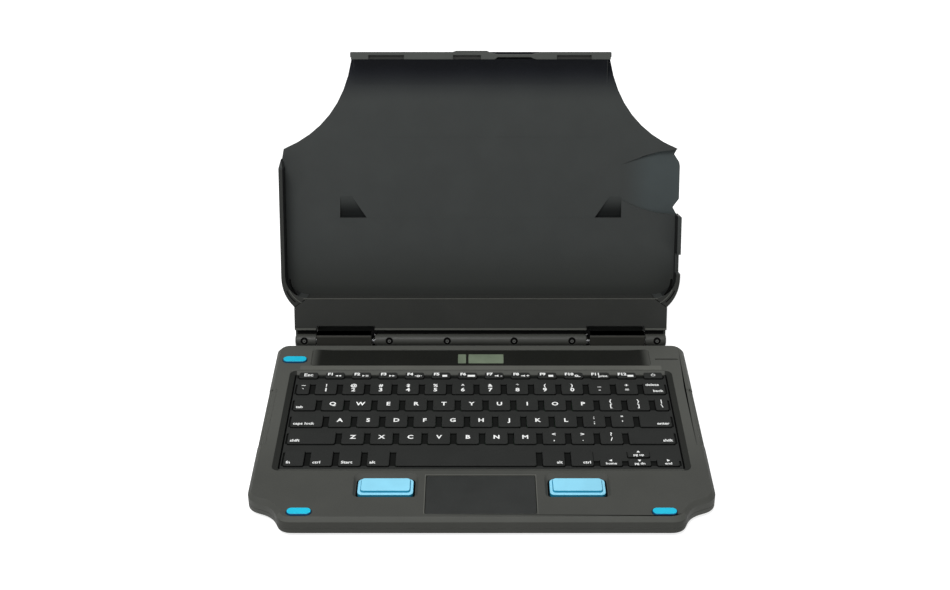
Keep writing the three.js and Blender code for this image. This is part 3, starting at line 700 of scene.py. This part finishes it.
def lay_out_keys():
    """Every key's rectangle, and the gaps between neighbours in a row, in millimetres."""
    keys, gaps = {}, []
    for front, depth, names in ROWS:
        sized = [key if isinstance(key, tuple) else (key, KEY_WIDTH) for key in names]
        gap = (2 * BLOCK_HALF - sum(width for _, width in sized)) / (len(sized) - 1)
        left = -BLOCK_HALF
        for name, width in sized:
            low, high = front, front + depth
            if name in ("left", "right"):
                high = front + HALF_KEY
            if name == "up_down":
                keys["up"] = (left, left + width, high - HALF_KEY, high)
                keys["down"] = (left, left + width, low, low + HALF_KEY)
            else:
                keys[name] = (left, left + width, low, high)
            gap_high = front + HALF_KEY if name in ("ctrl_right", "left", "up_down", "right") else high
            gap_width = END_GAP if name == sized[-1][0] else gap
            gaps.append((left + width, left + width + gap_width, front, gap_high))
            if name == sized[0][0]:
                gaps.append((left - END_GAP, left, low, high))
            left += width + gap
    return keys, gaps


keys, gaps = lay_out_keys()
SPRUNG = [*"abcdefghijklmnopqrstuvwxyz", "space"]
print(len(keys), "keys,", len(gaps), "gaps")

# %% Key pattern
pattern = rounded_block("key_pattern", (-6.35, -5.8, KEY_FOOT), (6.35, 5.8, 11.5), 1.1, steps=3)
pick(pattern, faces=lambda centre, normal: normal.z > 0.9)
bpy.ops.mesh.extrude_region_move(TRANSFORM_OT_translate={"value": (0, 0, 0.08 * MM)})
bpy.ops.transform.resize(value=(6.85 / 6.35, 6.3 / 5.8, 1), center_override=(0, 0, 11.58 * MM))
bpy.ops.mesh.extrude_region_move(TRANSFORM_OT_translate={"value": (0, 0, 0.42 * MM)})
bpy.ops.transform.resize(value=(6.6 / 6.85, 6.05 / 6.3, 1), center_override=(0, 0, 12 * MM))
bpy.ops.mesh.bevel(offset=0.25 * MM, segments=2, affect="EDGES")
leave()
print("key pattern:", len(pattern.data.polygons), "faces")


def key_from_pattern(name, rectangle):
    """A copy of the key, stretched at its middle to fill a rectangle."""
    left, right, front, back = rectangle
    piece = duplicate(pattern, name)
    wider = (right - left - KEY_WIDTH) / 2 * MM
    deeper = (back - front - KEY_DEPTH) / 2 * MM
    for vertex in piece.data.vertices:
        vertex.co.x += math.copysign(1, vertex.co.x) * wider + (left + right) / 2 * MM
        vertex.co.y += math.copysign(1, vertex.co.y) * deeper + (front + back) / 2 * MM
    piece.data.update()
    return piece


# %% [markdown]
# The legends are printed in white. Each one is a text object that becomes a thin mesh on the key's top,
# so that it goes with its key. They are the ordinary legends of a compact keyboard.

# %% Legends
LETTER = 5.1
INK_TOP = KEY_TOP + 0.03


def words(body, x, y, size, weight=0.02, stretch=1.0, align="CENTER"):
    """One legend as a mesh, centred on a point of the deck, or with one end there."""
    bpy.ops.object.select_all(action="DESELECT")
    bpy.ops.object.text_add(location=(x * MM, y * MM, INK_TOP * MM))
    text = bpy.context.object
    text.data.body = body
    text.data.size = size * MM
    text.data.align_x = align
    text.data.align_y = "CENTER"
    text.data.offset = weight * size * MM
    text.data.resolution_u = 2
    bpy.ops.object.convert(target="MESH")
    text = bpy.context.object
    text.scale = (stretch, 1, 1)
    bpy.ops.object.transform_apply(location=True, rotation=True, scale=True)
    return text


def triangle(x, y, size, turn):
    """A small arrow head that points at an angle."""
    bpy.ops.object.select_all(action="DESELECT")
    bpy.ops.mesh.primitive_circle_add(vertices=3, radius=size * MM, fill_type="NGON",
                                      location=(x * MM, y * MM, INK_TOP * MM))
    arrow = bpy.context.object
    arrow.rotation_euler = (0, 0, math.radians(turn))
    bpy.ops.object.transform_apply(location=True, rotation=True, scale=True)
    return arrow


def dash(x, y, width, depth):
    """A small printed bar."""
    return rounded_block("dash", (x - width / 2, y - depth / 2, KEY_TOP),
                         (x + width / 2, y + depth / 2, INK_TOP))


def icon(name, x, y):
    """A plain sign for what a function key does: winding, brightness, windows, sound, search."""
    turn = 90 if name in ("f1", "f7", "f8") else -90
    if name in ("f1", "f3"):
        return [triangle(x - 0.9, y, 0.95, turn), triangle(x + 0.8, y, 0.95, turn)]
    if name == "f2":
        return [triangle(x - 1.1, y, 0.95, turn), dash(x + 0.5, y, 0.45, 1.5), dash(x + 1.4, y, 0.45, 1.5)]
    if name == "f4":
        return [words("o", x, y + 0.1, 3.8, weight=0.03), dash(x - 1.6, y, 0.5, 0.5),
                dash(x + 1.6, y, 0.5, 0.5)]
    if name in ("f5", "f6", "f9", "f12"):
        wide = {"f5": 2.6, "f6": 4.0, "f9": 2.6, "f12": 3.2}[name]
        return [dash(x, y, wide, 1.7)]
    if name in ("f7", "f8"):
        sign = words("-" if name == "f7" else "+", x + 1.9, y, 3.0, weight=0.03)
        return [dash(x - 1.2, y, 0.8, 0.9), triangle(x - 0.2, y, 1.1, turn), sign]
    if name == "f10":
        return [words("o", x - 0.5, y + 0.3, 3.8, weight=0.03), dash(x + 1.0, y - 0.7, 1.2, 0.5)]
    return [words("print", x - 0.6, y - 0.3, 2.5, weight=0.03)]


PAIRS = {"1": "!", "2": "@", "3": "#", "4": "$", "5": "%", "6": "^", "7": "&", "8": "*", "9": "(", "0": ")"}
STACKED = {"minus": ("_", "-"), "equals": ("+", "="), "semicolon": (":", ";"), "quote": ("\"", "'"),
           "comma": ("<", ","), "stop": (">", "."), "slash": ("?", "/"), "open": ("{", "["),
           "close": ("}", "]"), "bar": ("|", "\\"), "grave": ("~", "`")}
# A word, and which corner of the key it stands in: -1 left or front, 0 middle, 1 right or rear.
WORDS = {
    "esc": [("Esc", 0, 0)], "tab": [("tab", -1, -1)], "caps": [("caps lock", -1, -1)],
    "shift_left": [("shift", -1, -1)], "shift_right": [("shift", 1, -1)], "enter": [("enter", 1, -1)],
    "delete": [("delete", -1, 1), ("back", 1, -1)], "fn": [("fn", -1, -1)], "ctrl_left": [("ctrl", -1, -1)],
    "start": [("Start", -1, -1)], "alt_left": [("alt", -1, -1)], "alt_right": [("alt", 1, -1)],
    "ctrl_right": [("ctrl", 1, -1)],
}
ARROWS = {"left": ("home", 90), "right": ("end", -90), "up": ("pg up", 0), "down": ("pg dn", 180)}


def legends(name, rectangle):
    """All the legends of one key."""
    left, right, front, back = rectangle
    x, y = (left + right) / 2, (front + back) / 2
    if name in PAIRS:
        return [words(PAIRS[name], x, y + 2.6, 4.2, weight=0.03), words(name, x, y - 2.2, 5.2, weight=0.03)]
    if name in STACKED:
        upper, lower = STACKED[name]
        return [words(upper, x, y + 2.8, 4.6), words(lower, x, y - 2.2, 4.6)]
    if name in ARROWS:
        body, turn = ARROWS[name]
        return [triangle(x, y + 1.5, 1.25, turn), words(body, x, y - 1.5, 2.9)]
    if name in WORDS:
        marks = []
        for body, across, along in WORDS[name]:
            mark_x = x + across * ((right - left) / 2 - EDGE_MARGIN)
            mark_y = y + along * ((back - front) / 2 - 2.9)
            align = {-1: "LEFT", 0: "CENTER", 1: "RIGHT"}[across]
            marks.append(words(body, mark_x, mark_y, 4.6 if name == "esc" else 3.5, align=align))
        return marks
    if name[0] == "f" and name[1:].isdigit():
        signs = icon(name, x + 2.4, y - 0.9)
        centre = Vector((x + 2.4, y - 0.9, INK_TOP)) * MM
        for sign in signs:
            place(sign, Matrix.Translation(centre) @ Matrix.Scale(1.2, 4) @ Matrix.Translation(-centre))
        return [words(name.upper(), x - 2.9, y + 0.9, 3.9, weight=0.045), *signs]
    if name == "power":
        return [words("O", x, y - 0.2, 3.9, weight=0.0), words("|", x, y + 1.3, 2.2)]
    if len(name) == 1:
        return [words(name.upper(), x, y, LETTER, stretch=1.02, weight=0.03)]
    return []


def key_parts(name, piece_name):
    """A key's cap, and its legends, each with its finish."""
    cap = key_from_pattern(piece_name, keys[name])
    cap.data.materials.append(key_rubber)
    ink = legends(name, keys[name])
    for mark in ink:
        mark.data.materials.append(legend_ink)
    return [cap, *ink]


# %% Keys that move
for name in SPRUNG:
    cap = join(*key_parts(name, f"cap_{name}"))
    place(cap, BASE_SHIFT)
    soft_shading(cap)
    settle(cap, f"key_{name}", "key_rubber", f"key_{name}")

# %% [markdown]
# The mat is a sheet with a hole for each moving key, a moat round each moulded one, and a channel between
# neighbours, so that the sides of the keys stand in shade. Each kind of hole is cut with one joined tool,
# whose finish paints the cut faces dark as shade.

# %% Mat with the moulded keys
mat = rounded_block("mat_sheet", (-119.6, -44.6, 9.6), (119.6, 57.2, MAT_TOP), 3.0)
mat.data.materials.append(key_rubber)
mat.data.materials.append(gap_painted_shade)
mat.data.materials.append(channel_painted_shade)
# The flange under the mat is painted black as the shade seen through the holes round the moving keys.
mat_flange = rounded_block("mat_flange", (-123.4, -45.8, 8.8), (123.4, 58.4, 9.6), 3.6)
mat_flange.data.materials.append(gap_painted_shade)


def joined_blocks(name, boxes, corner, finish):
    """Blocks joined into one cutter, which lends its finish to what it cuts."""
    blocks = [rounded_block(name, low, high, corner, steps=3) for low, high in boxes]
    for block in blocks:
        block.data.materials.append(finish)
    return join(*blocks)


# The channels between keys are painted dark as shade.
channel_boxes = [((a - 0.1, front + 0.9, 9.9), (b + 0.1, back - 0.9, 13)) for a, b, front, back in gaps]
channels = joined_blocks("channels", channel_boxes, 0.5, channel_painted_shade)
cut_out(mat, channels)
moat_boxes = []
for name, (left, right, front, back) in keys.items():
    bottom = 8.0 if name in SPRUNG else 9.7
    moat_boxes.append(((left - 0.3, front - 0.3, bottom), (right + 0.3, back + 0.3, 13)))
moats = joined_blocks("moats", moat_boxes, 1.3, gap_painted_shade)
cut_out(mat, moats)
hole_boxes = [box for box in moat_boxes if box[0][2] < 9]
cut_out(mat_flange, joined_blocks("holes", hole_boxes, 1.3, gap_painted_shade))
moulded_keys = []
for name in keys:
    if name not in SPRUNG:
        moulded_keys += key_parts(name, f"moulded_{name}")
join(mat, mat_flange, *moulded_keys)
place(mat, BASE_SHIFT)
soft_shading(mat, 30)
settle(mat, "base", "key_rubber", "key_mat")
bpy.data.objects.remove(pattern)

# %% [markdown]
# ## Touchpad, buttons and pads
#
# These are small mouldings on the deck. Each is a rounded block with its own rim. A thin frame, painted
# light as a highlight, runs round the rear and the sides of the touchpad. The click buttons are light blue
# on top, and their flanks are painted deeper blue as shade.

# %% Touchpad and nameplate
pad = rounded_block("touch_surface", (-32.2, -85.6, 11.4), (31.2, -51.1, 12.2), 1.3, 0.2)
place(pad, BASE_SHIFT)
soft_shading(pad)
pad.data.materials.append(pad_film)
# Thin strips round the touchpad, painted light as the highlight on the edge of its recess.
PAD_HIGHLIGHT_FRAME = [((-33.1, -51.0, 12.0), (32.1, -50.4, 12.62)),
             ((-33.1, -86.0, 12.0), (-32.6, -51.0, 12.62)),
             ((31.6, -86.0, 12.0), (32.1, -51.0, 12.62))]
for low, high in PAD_HIGHLIGHT_FRAME:
    join(pad, dress(rounded_block("pad_highlight_line", low, high), painted_highlight_olive, BASE_SHIFT))
settle(pad, "base", "touch_film", "touchpad")

plate = join(
    rounded_block("blank_plate", (-8.1, 67.3, 11.9), (15, 77.7, 12.65), 0.5, 0.15),
    rounded_block("blank_square", (-15, 67.3, 11.9), (-9.7, 77.7, 12.65), 0.5, 0.15),
)
place(plate, BASE_SHIFT)
soft_shading(plate)
plate.data.materials.append(plate_grey)
settle(plate, "base", "plate", "nameplate")

# %% Click buttons and rubber pads
for side, label in SIDES:
    middle = side * 55.65
    button = rounded_block(f"thumb_button_{label}", (middle - 16.15, -68.7, 10.0),
                           (middle + 16.15, -54.1, 12.3), 2.6, 0.5)
    raised = rounded_block("raised", (middle - 14.6, -66.9, 12.2), (middle + 14.6, -54.5, 13.5),
                           1.8, 0.2, 0.5)
    flange = rounded_block("flange", (middle - 18.9, -71.8, 8.8), (middle + 18.9, -51.6, 10.0), 3)
    join(button, raised, flange)
    place(button, BASE_SHIFT)
    soft_shading(button)
    button.data.materials.append(click_blue)
    # The button's flanks are painted deeper blue as shade.
    paint(button, click_painted_shade, lambda centre, normal: normal.z < 0.6)
    # The flange round the button is painted black as the shade in the gap.
    paint(button, gap_painted_shade, lambda centre, normal: centre.z < 10.2 * MM)
    settle(button, f"click_{label}", "click", f"click_button_{label}")

PADS = {"bumper_rear_left": (-122.4, 71.3, 7.9, 3.4), "bumper_front_left": (-103.7, -84.2, 7.1, 3.0),
        "bumper_front_right": (103.7, -84.2, 7.1, 3.0)}
for node, (x, y, half_width, half_depth) in PADS.items():
    rubber = rounded_block(node.replace("bumper", "rubber_pad"), (x - half_width, y - half_depth, 11.6),
                           (x + half_width, y + half_depth, 13.4), half_depth * 0.97, 0.7, steps=8)
    place(rubber, BASE_SHIFT)
    soft_shading(rubber)
    rubber.data.materials.append(bumper_cyan)
    # The pad's sides are painted dark navy as shade.
    paint(rubber, bumper_painted_shade, lambda centre, normal: normal.z < 0.9)
    settle(rubber, "base", "bumper", node)

# %% Feet
FEET = {"foot_front_left": (-100, -70), "foot_front_right": (100, -70), "foot_rear_left": (-112, 76),
        "foot_rear_right": (112, 76)}
foot_pattern = cylinder(40, 7, 1.6, (0, 0, 0.8))
pick(foot_pattern, faces=lambda centre, normal: normal.z < -0.9)
bpy.ops.mesh.inset(thickness=1.2 * MM)
bpy.ops.mesh.bevel(offset=0.3 * MM, segments=2, affect="EDGES")
leave()
for node, (x, y) in FEET.items():
    foot = duplicate(foot_pattern, node.replace("foot", "rubber_foot"))
    place(foot, BASE_SHIFT @ Matrix.Translation((x * MM, y * MM, 0)))
    soft_shading(foot)
    foot.data.materials.append(foot_rubber)
    settle(foot, "base", "foot", node)
bpy.data.objects.remove(foot_pattern)

# %% [markdown]
# Each hinge tower is a plain block whose top is painted black as the deep shade of a hollow. Three spacers
# beside it fill most of the slit towards the lid.

# %% Hinge towers
SPACERS = [(71.2, 93, 100, 1.8, 7.4), (71.15, 93.9, 97.6, 14.0, 15.5), (71.75, 93, 100, 15.5, 18.4)]
SPACERS_END = 73.4
for side, label in SIDES:
    tower = copy_of(f"hinge_tower_{label}", f"tower_{label}")
    round_edges(tower, 0.3)
    spacers = []
    for inner, front, rear, low, high in SPACERS:
        x0, x1 = sorted((side * inner, side * SPACERS_END))
        spacer = rounded_block("spacer", (x0, front, low), (x1, rear, high))
        place(spacer, BASE_SHIFT)
        spacers.append(spacer)
    join(tower, *spacers)
    tower.data.materials.append(tower_olive)
    # The tower's top is painted black as deep shade.
    paint(tower, gap_painted_shade,
          lambda centre, normal: centre.z > 14.8 * MM and centre.y > BASE_MIDDLE_Y + 91.9 * MM)
    settle(tower, "base", "cover", f"hinge_tower_{label}")

# %% [markdown]
# ## The lid
#
# The tray, the spine along its lower edge and the bar that hooks over the tablet come from the frame with
# their edges rounded. The tray's floor has two fine ribs across it. Thin rings run round the lower corners
# of its pocket: an inner one painted black as shade on the pocket's wall, a light one painted as a
# highlight, and a dark seam line outside it. The tray's front is painted darker near its foot as shade and
# nearly black under the bar as its shadow. The finger recess is painted dark as shade, the scoop at its
# side is painted lighter as light with a dark upper edge as shade, and the pocket's inner walls are painted
# dark as shade.

# %% Tray
LID_INVERSE = LID_PLACE.inverted()


def in_lid(test):
    """Turns a test in the lid's own millimetres into one on a face's centre and normal."""
    turn = LID_INVERSE.to_3x3()
    return lambda centre, normal: test(LID_INVERSE @ centre / MM, turn @ normal)


TRAY_FLOOR = 14.5


def flatten_tray_floor(piece):
    """Puts the vertices that lie almost in the plane of the tray's floor exactly in it."""
    for vertex in piece.data.vertices:
        spot = LID_INVERSE @ vertex.co
        if abs(spot.y / MM - TRAY_FLOOR) < 0.1:
            spot.y = TRAY_FLOOR * MM
            vertex.co = LID_PLACE @ spot
    piece.data.update()


tray = copy_of("tablet_shell", "tray")
flatten_tray_floor(tray)
SCOOP_TIP = Vector((131, 16, 127.4))
round_edges(tray, 0.3, leave_out=lambda middle: (LID_INVERSE @ middle / MM - SCOOP_TIP).length < 7.5)
flatten_tray_floor(tray)
soft_shading(tray, flat=in_lid(lambda p, n: abs(n.y) > 0.95))
tray.data.materials.append(lid_grey)
# The tray's front faces get the painted shade and the bar's painted shadow.
paint(tray, tray_painted_shade, in_lid(lambda p, n: n.y < -0.9 and p.y < 14.7))
# The finger recesses are painted dark as shade.
paint(tray, recess_painted_shade, in_lid(lambda p, n: 76 < abs(p.x) < 94.8 and 81 < p.z < 97 and 14.52 < p.y < 16.5))
# The scoop's floor is painted lighter as light.
paint(tray, scoop_painted_light, in_lid(lambda p, n: p.x > 95 and 84 < p.z < 127 and 14.6 < p.y < 19 and n.y < -0.9))
# The scoop's down-facing upper edge and the pocket's inner walls are painted dark as shade.
paint(tray, edge_painted_shade, in_lid(lambda p, n: p.x > 93 and p.z > 112 and 14.52 < p.y < 19 and n.z < -0.2))
paint(tray, edge_painted_shade, in_lid(lambda p, n: n.x * p.x < -0.35 * abs(p.x) and 100 < abs(p.x) and p.z < 118
                               and p.y < 14.4))
# The rim's front faces at the pocket's lower corners are painted the cover's dark tone.
paint(tray, cover_black_and_painted_shade, in_lid(lambda p, n: n.y < -0.5 and p.y < 3 and abs(p.x) > 112 and p.z < 42))
ribs = [
    rounded_block("rib", (-79, 14.42, 135.2), (79, 14.7, 135.6)),
    rounded_block("rib", (-76, 14.42, 81.2), (76, 14.7, 81.6)),
]
for rib in ribs:
    rib.data.materials.append(tray_painted_shade)


def corner_arc(side, outer, width, front, back, top, finish):
    """A part of a ring round a lower corner of the tray's pocket, closed at its ends."""
    arc = cylinder(64, outer, back - front, (side * 112, (front + back) / 2, 41), (math.radians(90), 0, 0))
    pick(arc, faces=lambda centre, normal: abs(normal.y) > 0.9)
    bpy.ops.mesh.inset(thickness=width * MM)
    bpy.ops.mesh.bridge_edge_loops()
    leave()
    pick(arc, faces=lambda centre, normal: centre.x * side < 112 * MM or not 25.5 < centre.z / MM < top)
    bpy.ops.mesh.delete(type="FACE")
    bpy.ops.mesh.select_all(action="SELECT")
    bpy.ops.mesh.fill_holes(sides=4)
    leave()
    arc.data.materials.append(finish)
    return arc


# Round each lower corner: an inner ring painted black as shade on the pocket's wall, a ring painted light
# as a highlight, and a dark seam line.
for side, _ in SIDES:
    ribs.append(corner_arc(side, 16.5, 1.0, 2.1, 5.0, 41, gap_painted_shade))
    ribs.append(corner_arc(side, 18.0, 0.5, 1.9, 2.3, 34, lip_painted_highlight))
    ribs.append(corner_arc(side, 19.9, 0.7, 1.9, 2.3, 34, gap_painted_shade))
for rib in ribs:
    place(rib, LID_PLACE)
join(tray, *ribs)
settle(tray, "lid", "lid_shell", "tablet_shell")

# %% [markdown]
# The spine is one moulding, with a lip along its lower edge, a groove under the lip, and the round barrels
# below the groove. The lip is painted light as a highlight, the groove black as shade, and the barrels
# lighter as a highlight. Its outer barrels end in rounded caps, a fine bead painted light as a highlight
# runs along its top, and small shutters, painted black as shade, close the slits beside the towers.

# %% Spine and bar
spine = copy_of("hinge_cover", "spine")
round_edges(spine, 0.3, flat=in_lid(lambda p, n: abs(n.y) > 0.99 and p.z > 5))
spine.data.materials.append(cover_black_and_painted_shade)
# The barrels are painted lighter as a highlight.
paint(spine, barrel_painted_highlight, in_lid(lambda p, n: p.y * p.y + p.z * p.z < 4.5 ** 2 and p.y < 3))
# The groove under the lip is painted black as shade.
paint(spine, gap_painted_shade, in_lid(lambda p, n: 2.2 < p.y < 3.2 and -3 < p.z < 6.4 and n.y < -0.8))
SPINE_LIPS = ((-124.9, -110.9), (-71.4, 71.4), (110.9, 124.9))
SHUTTERS = ((64.6, 1.9, 6.0, 3.95), (69.9, -1.4, 1.9, 4.4))
SHUTTERS_END = 71.6
added = []
# The lips are painted light as a highlight.
for x0, x1 in SPINE_LIPS:
    lip = rounded_block("lip", (x0, 1.4, 6.7), (x1, 2.6, 7.9), 0.3)
    added.append(dress(lip, lip_painted_highlight, LID_PLACE))
for side, _ in SIDES:
    barrel_end = cylinder(32, 4.1, 1.4, (side * 123.9, 0, 0), (0, math.radians(90), 0))
    pick(barrel_end, faces=lambda centre, normal: normal.x * side > 0.9)
    bpy.ops.mesh.bevel(offset=1.2 * MM, segments=4, affect="EDGES")
    leave()
    added.append(dress(barrel_end, barrel_painted_highlight, LID_PLACE))
    x0, x1 = sorted((side * 123.3, side * 124.7))
    added.append(dress(rounded_block("web_end", (x0, 2.4, -1), (x1, 8, 8.2)), cover_black_and_painted_shade, LID_PLACE))
# The bead is painted light as the highlight on the ledge's edge.
added.append(dress(rounded_block("bead", (-119, 1.75, 27.9), (119, 2.6, 28.4)), lip_painted_highlight, LID_PLACE))
# The shutters are painted black as the shade in the slits.
for side, _ in SIDES:
    for inner, front, rear, low in SHUTTERS:
        x0, x1 = sorted((side * inner, side * SHUTTERS_END))
        shutter = rounded_block("shutter", (x0, front, low), (x1, rear, 6.7))
        added.append(dress(shutter, gap_painted_shade, LID_PLACE))
join(spine, *added)
settle(spine, "lid", "cover", "hinge_cover")

hook_bar = copy_of("top_retainer", "hook_bar")
round_edges(hook_bar, 0.3, flat=in_lid(lambda p, n: abs(n.y) > 0.99))
hook_bar.data.materials.append(retainer_olive)
# The windows in the bar are painted dark as shade.
paint(hook_bar, cover_black_and_painted_shade, in_lid(lambda p, n: n.y < -0.8 and 3.2 < p.y < 4.2))
settle(hook_bar, "lid", "retainer", "top_retainer")

# %% [markdown]
# A screw is a flat head with a hexagonal socket, standing on a washer. The head's rim, the socket and the
# washer are painted black as the shade in the hollow round the screw, and the middle of the head is
# lighter. One is made with its head up, turned to face the front, and copied along the barrels.

# %% Screws
SCREW_PLACES = [-118.4, -61.3, -22.45, 22.45, 61.3, 118.4]


def on_axis(centre, normal):
    """Whether a face is the one in the middle of an upright cylinder's top."""
    return normal.z > 0.99 and centre.xy.length < 0.1 * MM


screw_pattern = cylinder(24, 2.2, 1.2, (0, 0, 3.3))
pick(screw_pattern, faces=on_axis)
bpy.ops.mesh.bevel(offset=0.3 * MM, segments=3, affect="EDGES")
leave()
pick(screw_pattern, faces=on_axis)
bpy.ops.mesh.inset(thickness=0.8 * MM)
bpy.ops.transform.translate(value=(0, 0, 0.05 * MM))
leave()
# The screw is painted black as shade, all but the middle of its head.
screw_pattern.data.materials.append(gap_painted_shade)
paint(screw_pattern, screw_black, on_axis)
hexagon = cylinder(6, 0.45, 1.6, (0, 0, 3.9))
hexagon.data.materials.append(gap_painted_shade)
cut_out(screw_pattern, hexagon)
shank = cylinder(12, 1.1, 11.4, (0, 0, -2.7))
shank.data.materials.append(screw_black)
washer = cylinder(24, 2.46, 0.4, (0, 0, 2.75))
washer.data.materials.append(gap_painted_shade)
join(screw_pattern, shank, washer)
place(screw_pattern, Matrix.Rotation(math.radians(90), 4, "X"))
for index, x in enumerate(SCREW_PLACES, 1):
    screw = duplicate(screw_pattern, f"spine_screw_{index}")
    place(screw, LID_PLACE @ Matrix.Translation((x * MM, 0, 0.3 * MM)))
    soft_shading(screw)
    settle(screw, "lid", "screw", f"hinge_screw_{index}")
bpy.data.objects.remove(screw_pattern)

# %% [markdown]
# ## Inner pieces
#
# The boards, the battery and the steel of the hinges keep the shapes of the frame. They are seldom
# seen, but an opened or posed model shows them, so each gets its own finish.

# %% Inner finishes
steel_brushed = moulded("steel_brushed", (0.42, 0.43, 0.44), 0.35, 0.5, 2600.0, 0.05, 0.12, 0.1)
steel_brushed.node_tree.nodes["Principled BSDF"].inputs["Metallic"].default_value = 1.0
board_green = moulded("board_green", (0.004, 0.022, 0.008), 0.5, 0.4, 900.0, 0.05, 0.2, 0.1)
cell_wrap = moulded("cell_wrap", (0.38, 0.40, 0.42), 0.4, 0.4, 900.0, 0.05, 0.1, 0.1)
INNER = {
    board_green: ["key_board", "controller_board"],
    cell_wrap: ["battery_pack"],
    steel_brushed: ["hinge_shaft_left", "hinge_shaft_right", "hinge_leaf_left", "hinge_leaf_right"],
}
for material, nodes in INNER.items():
    for node in nodes:
        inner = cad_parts[node]
        inner.data.materials.clear()
        inner.data.materials.append(material)
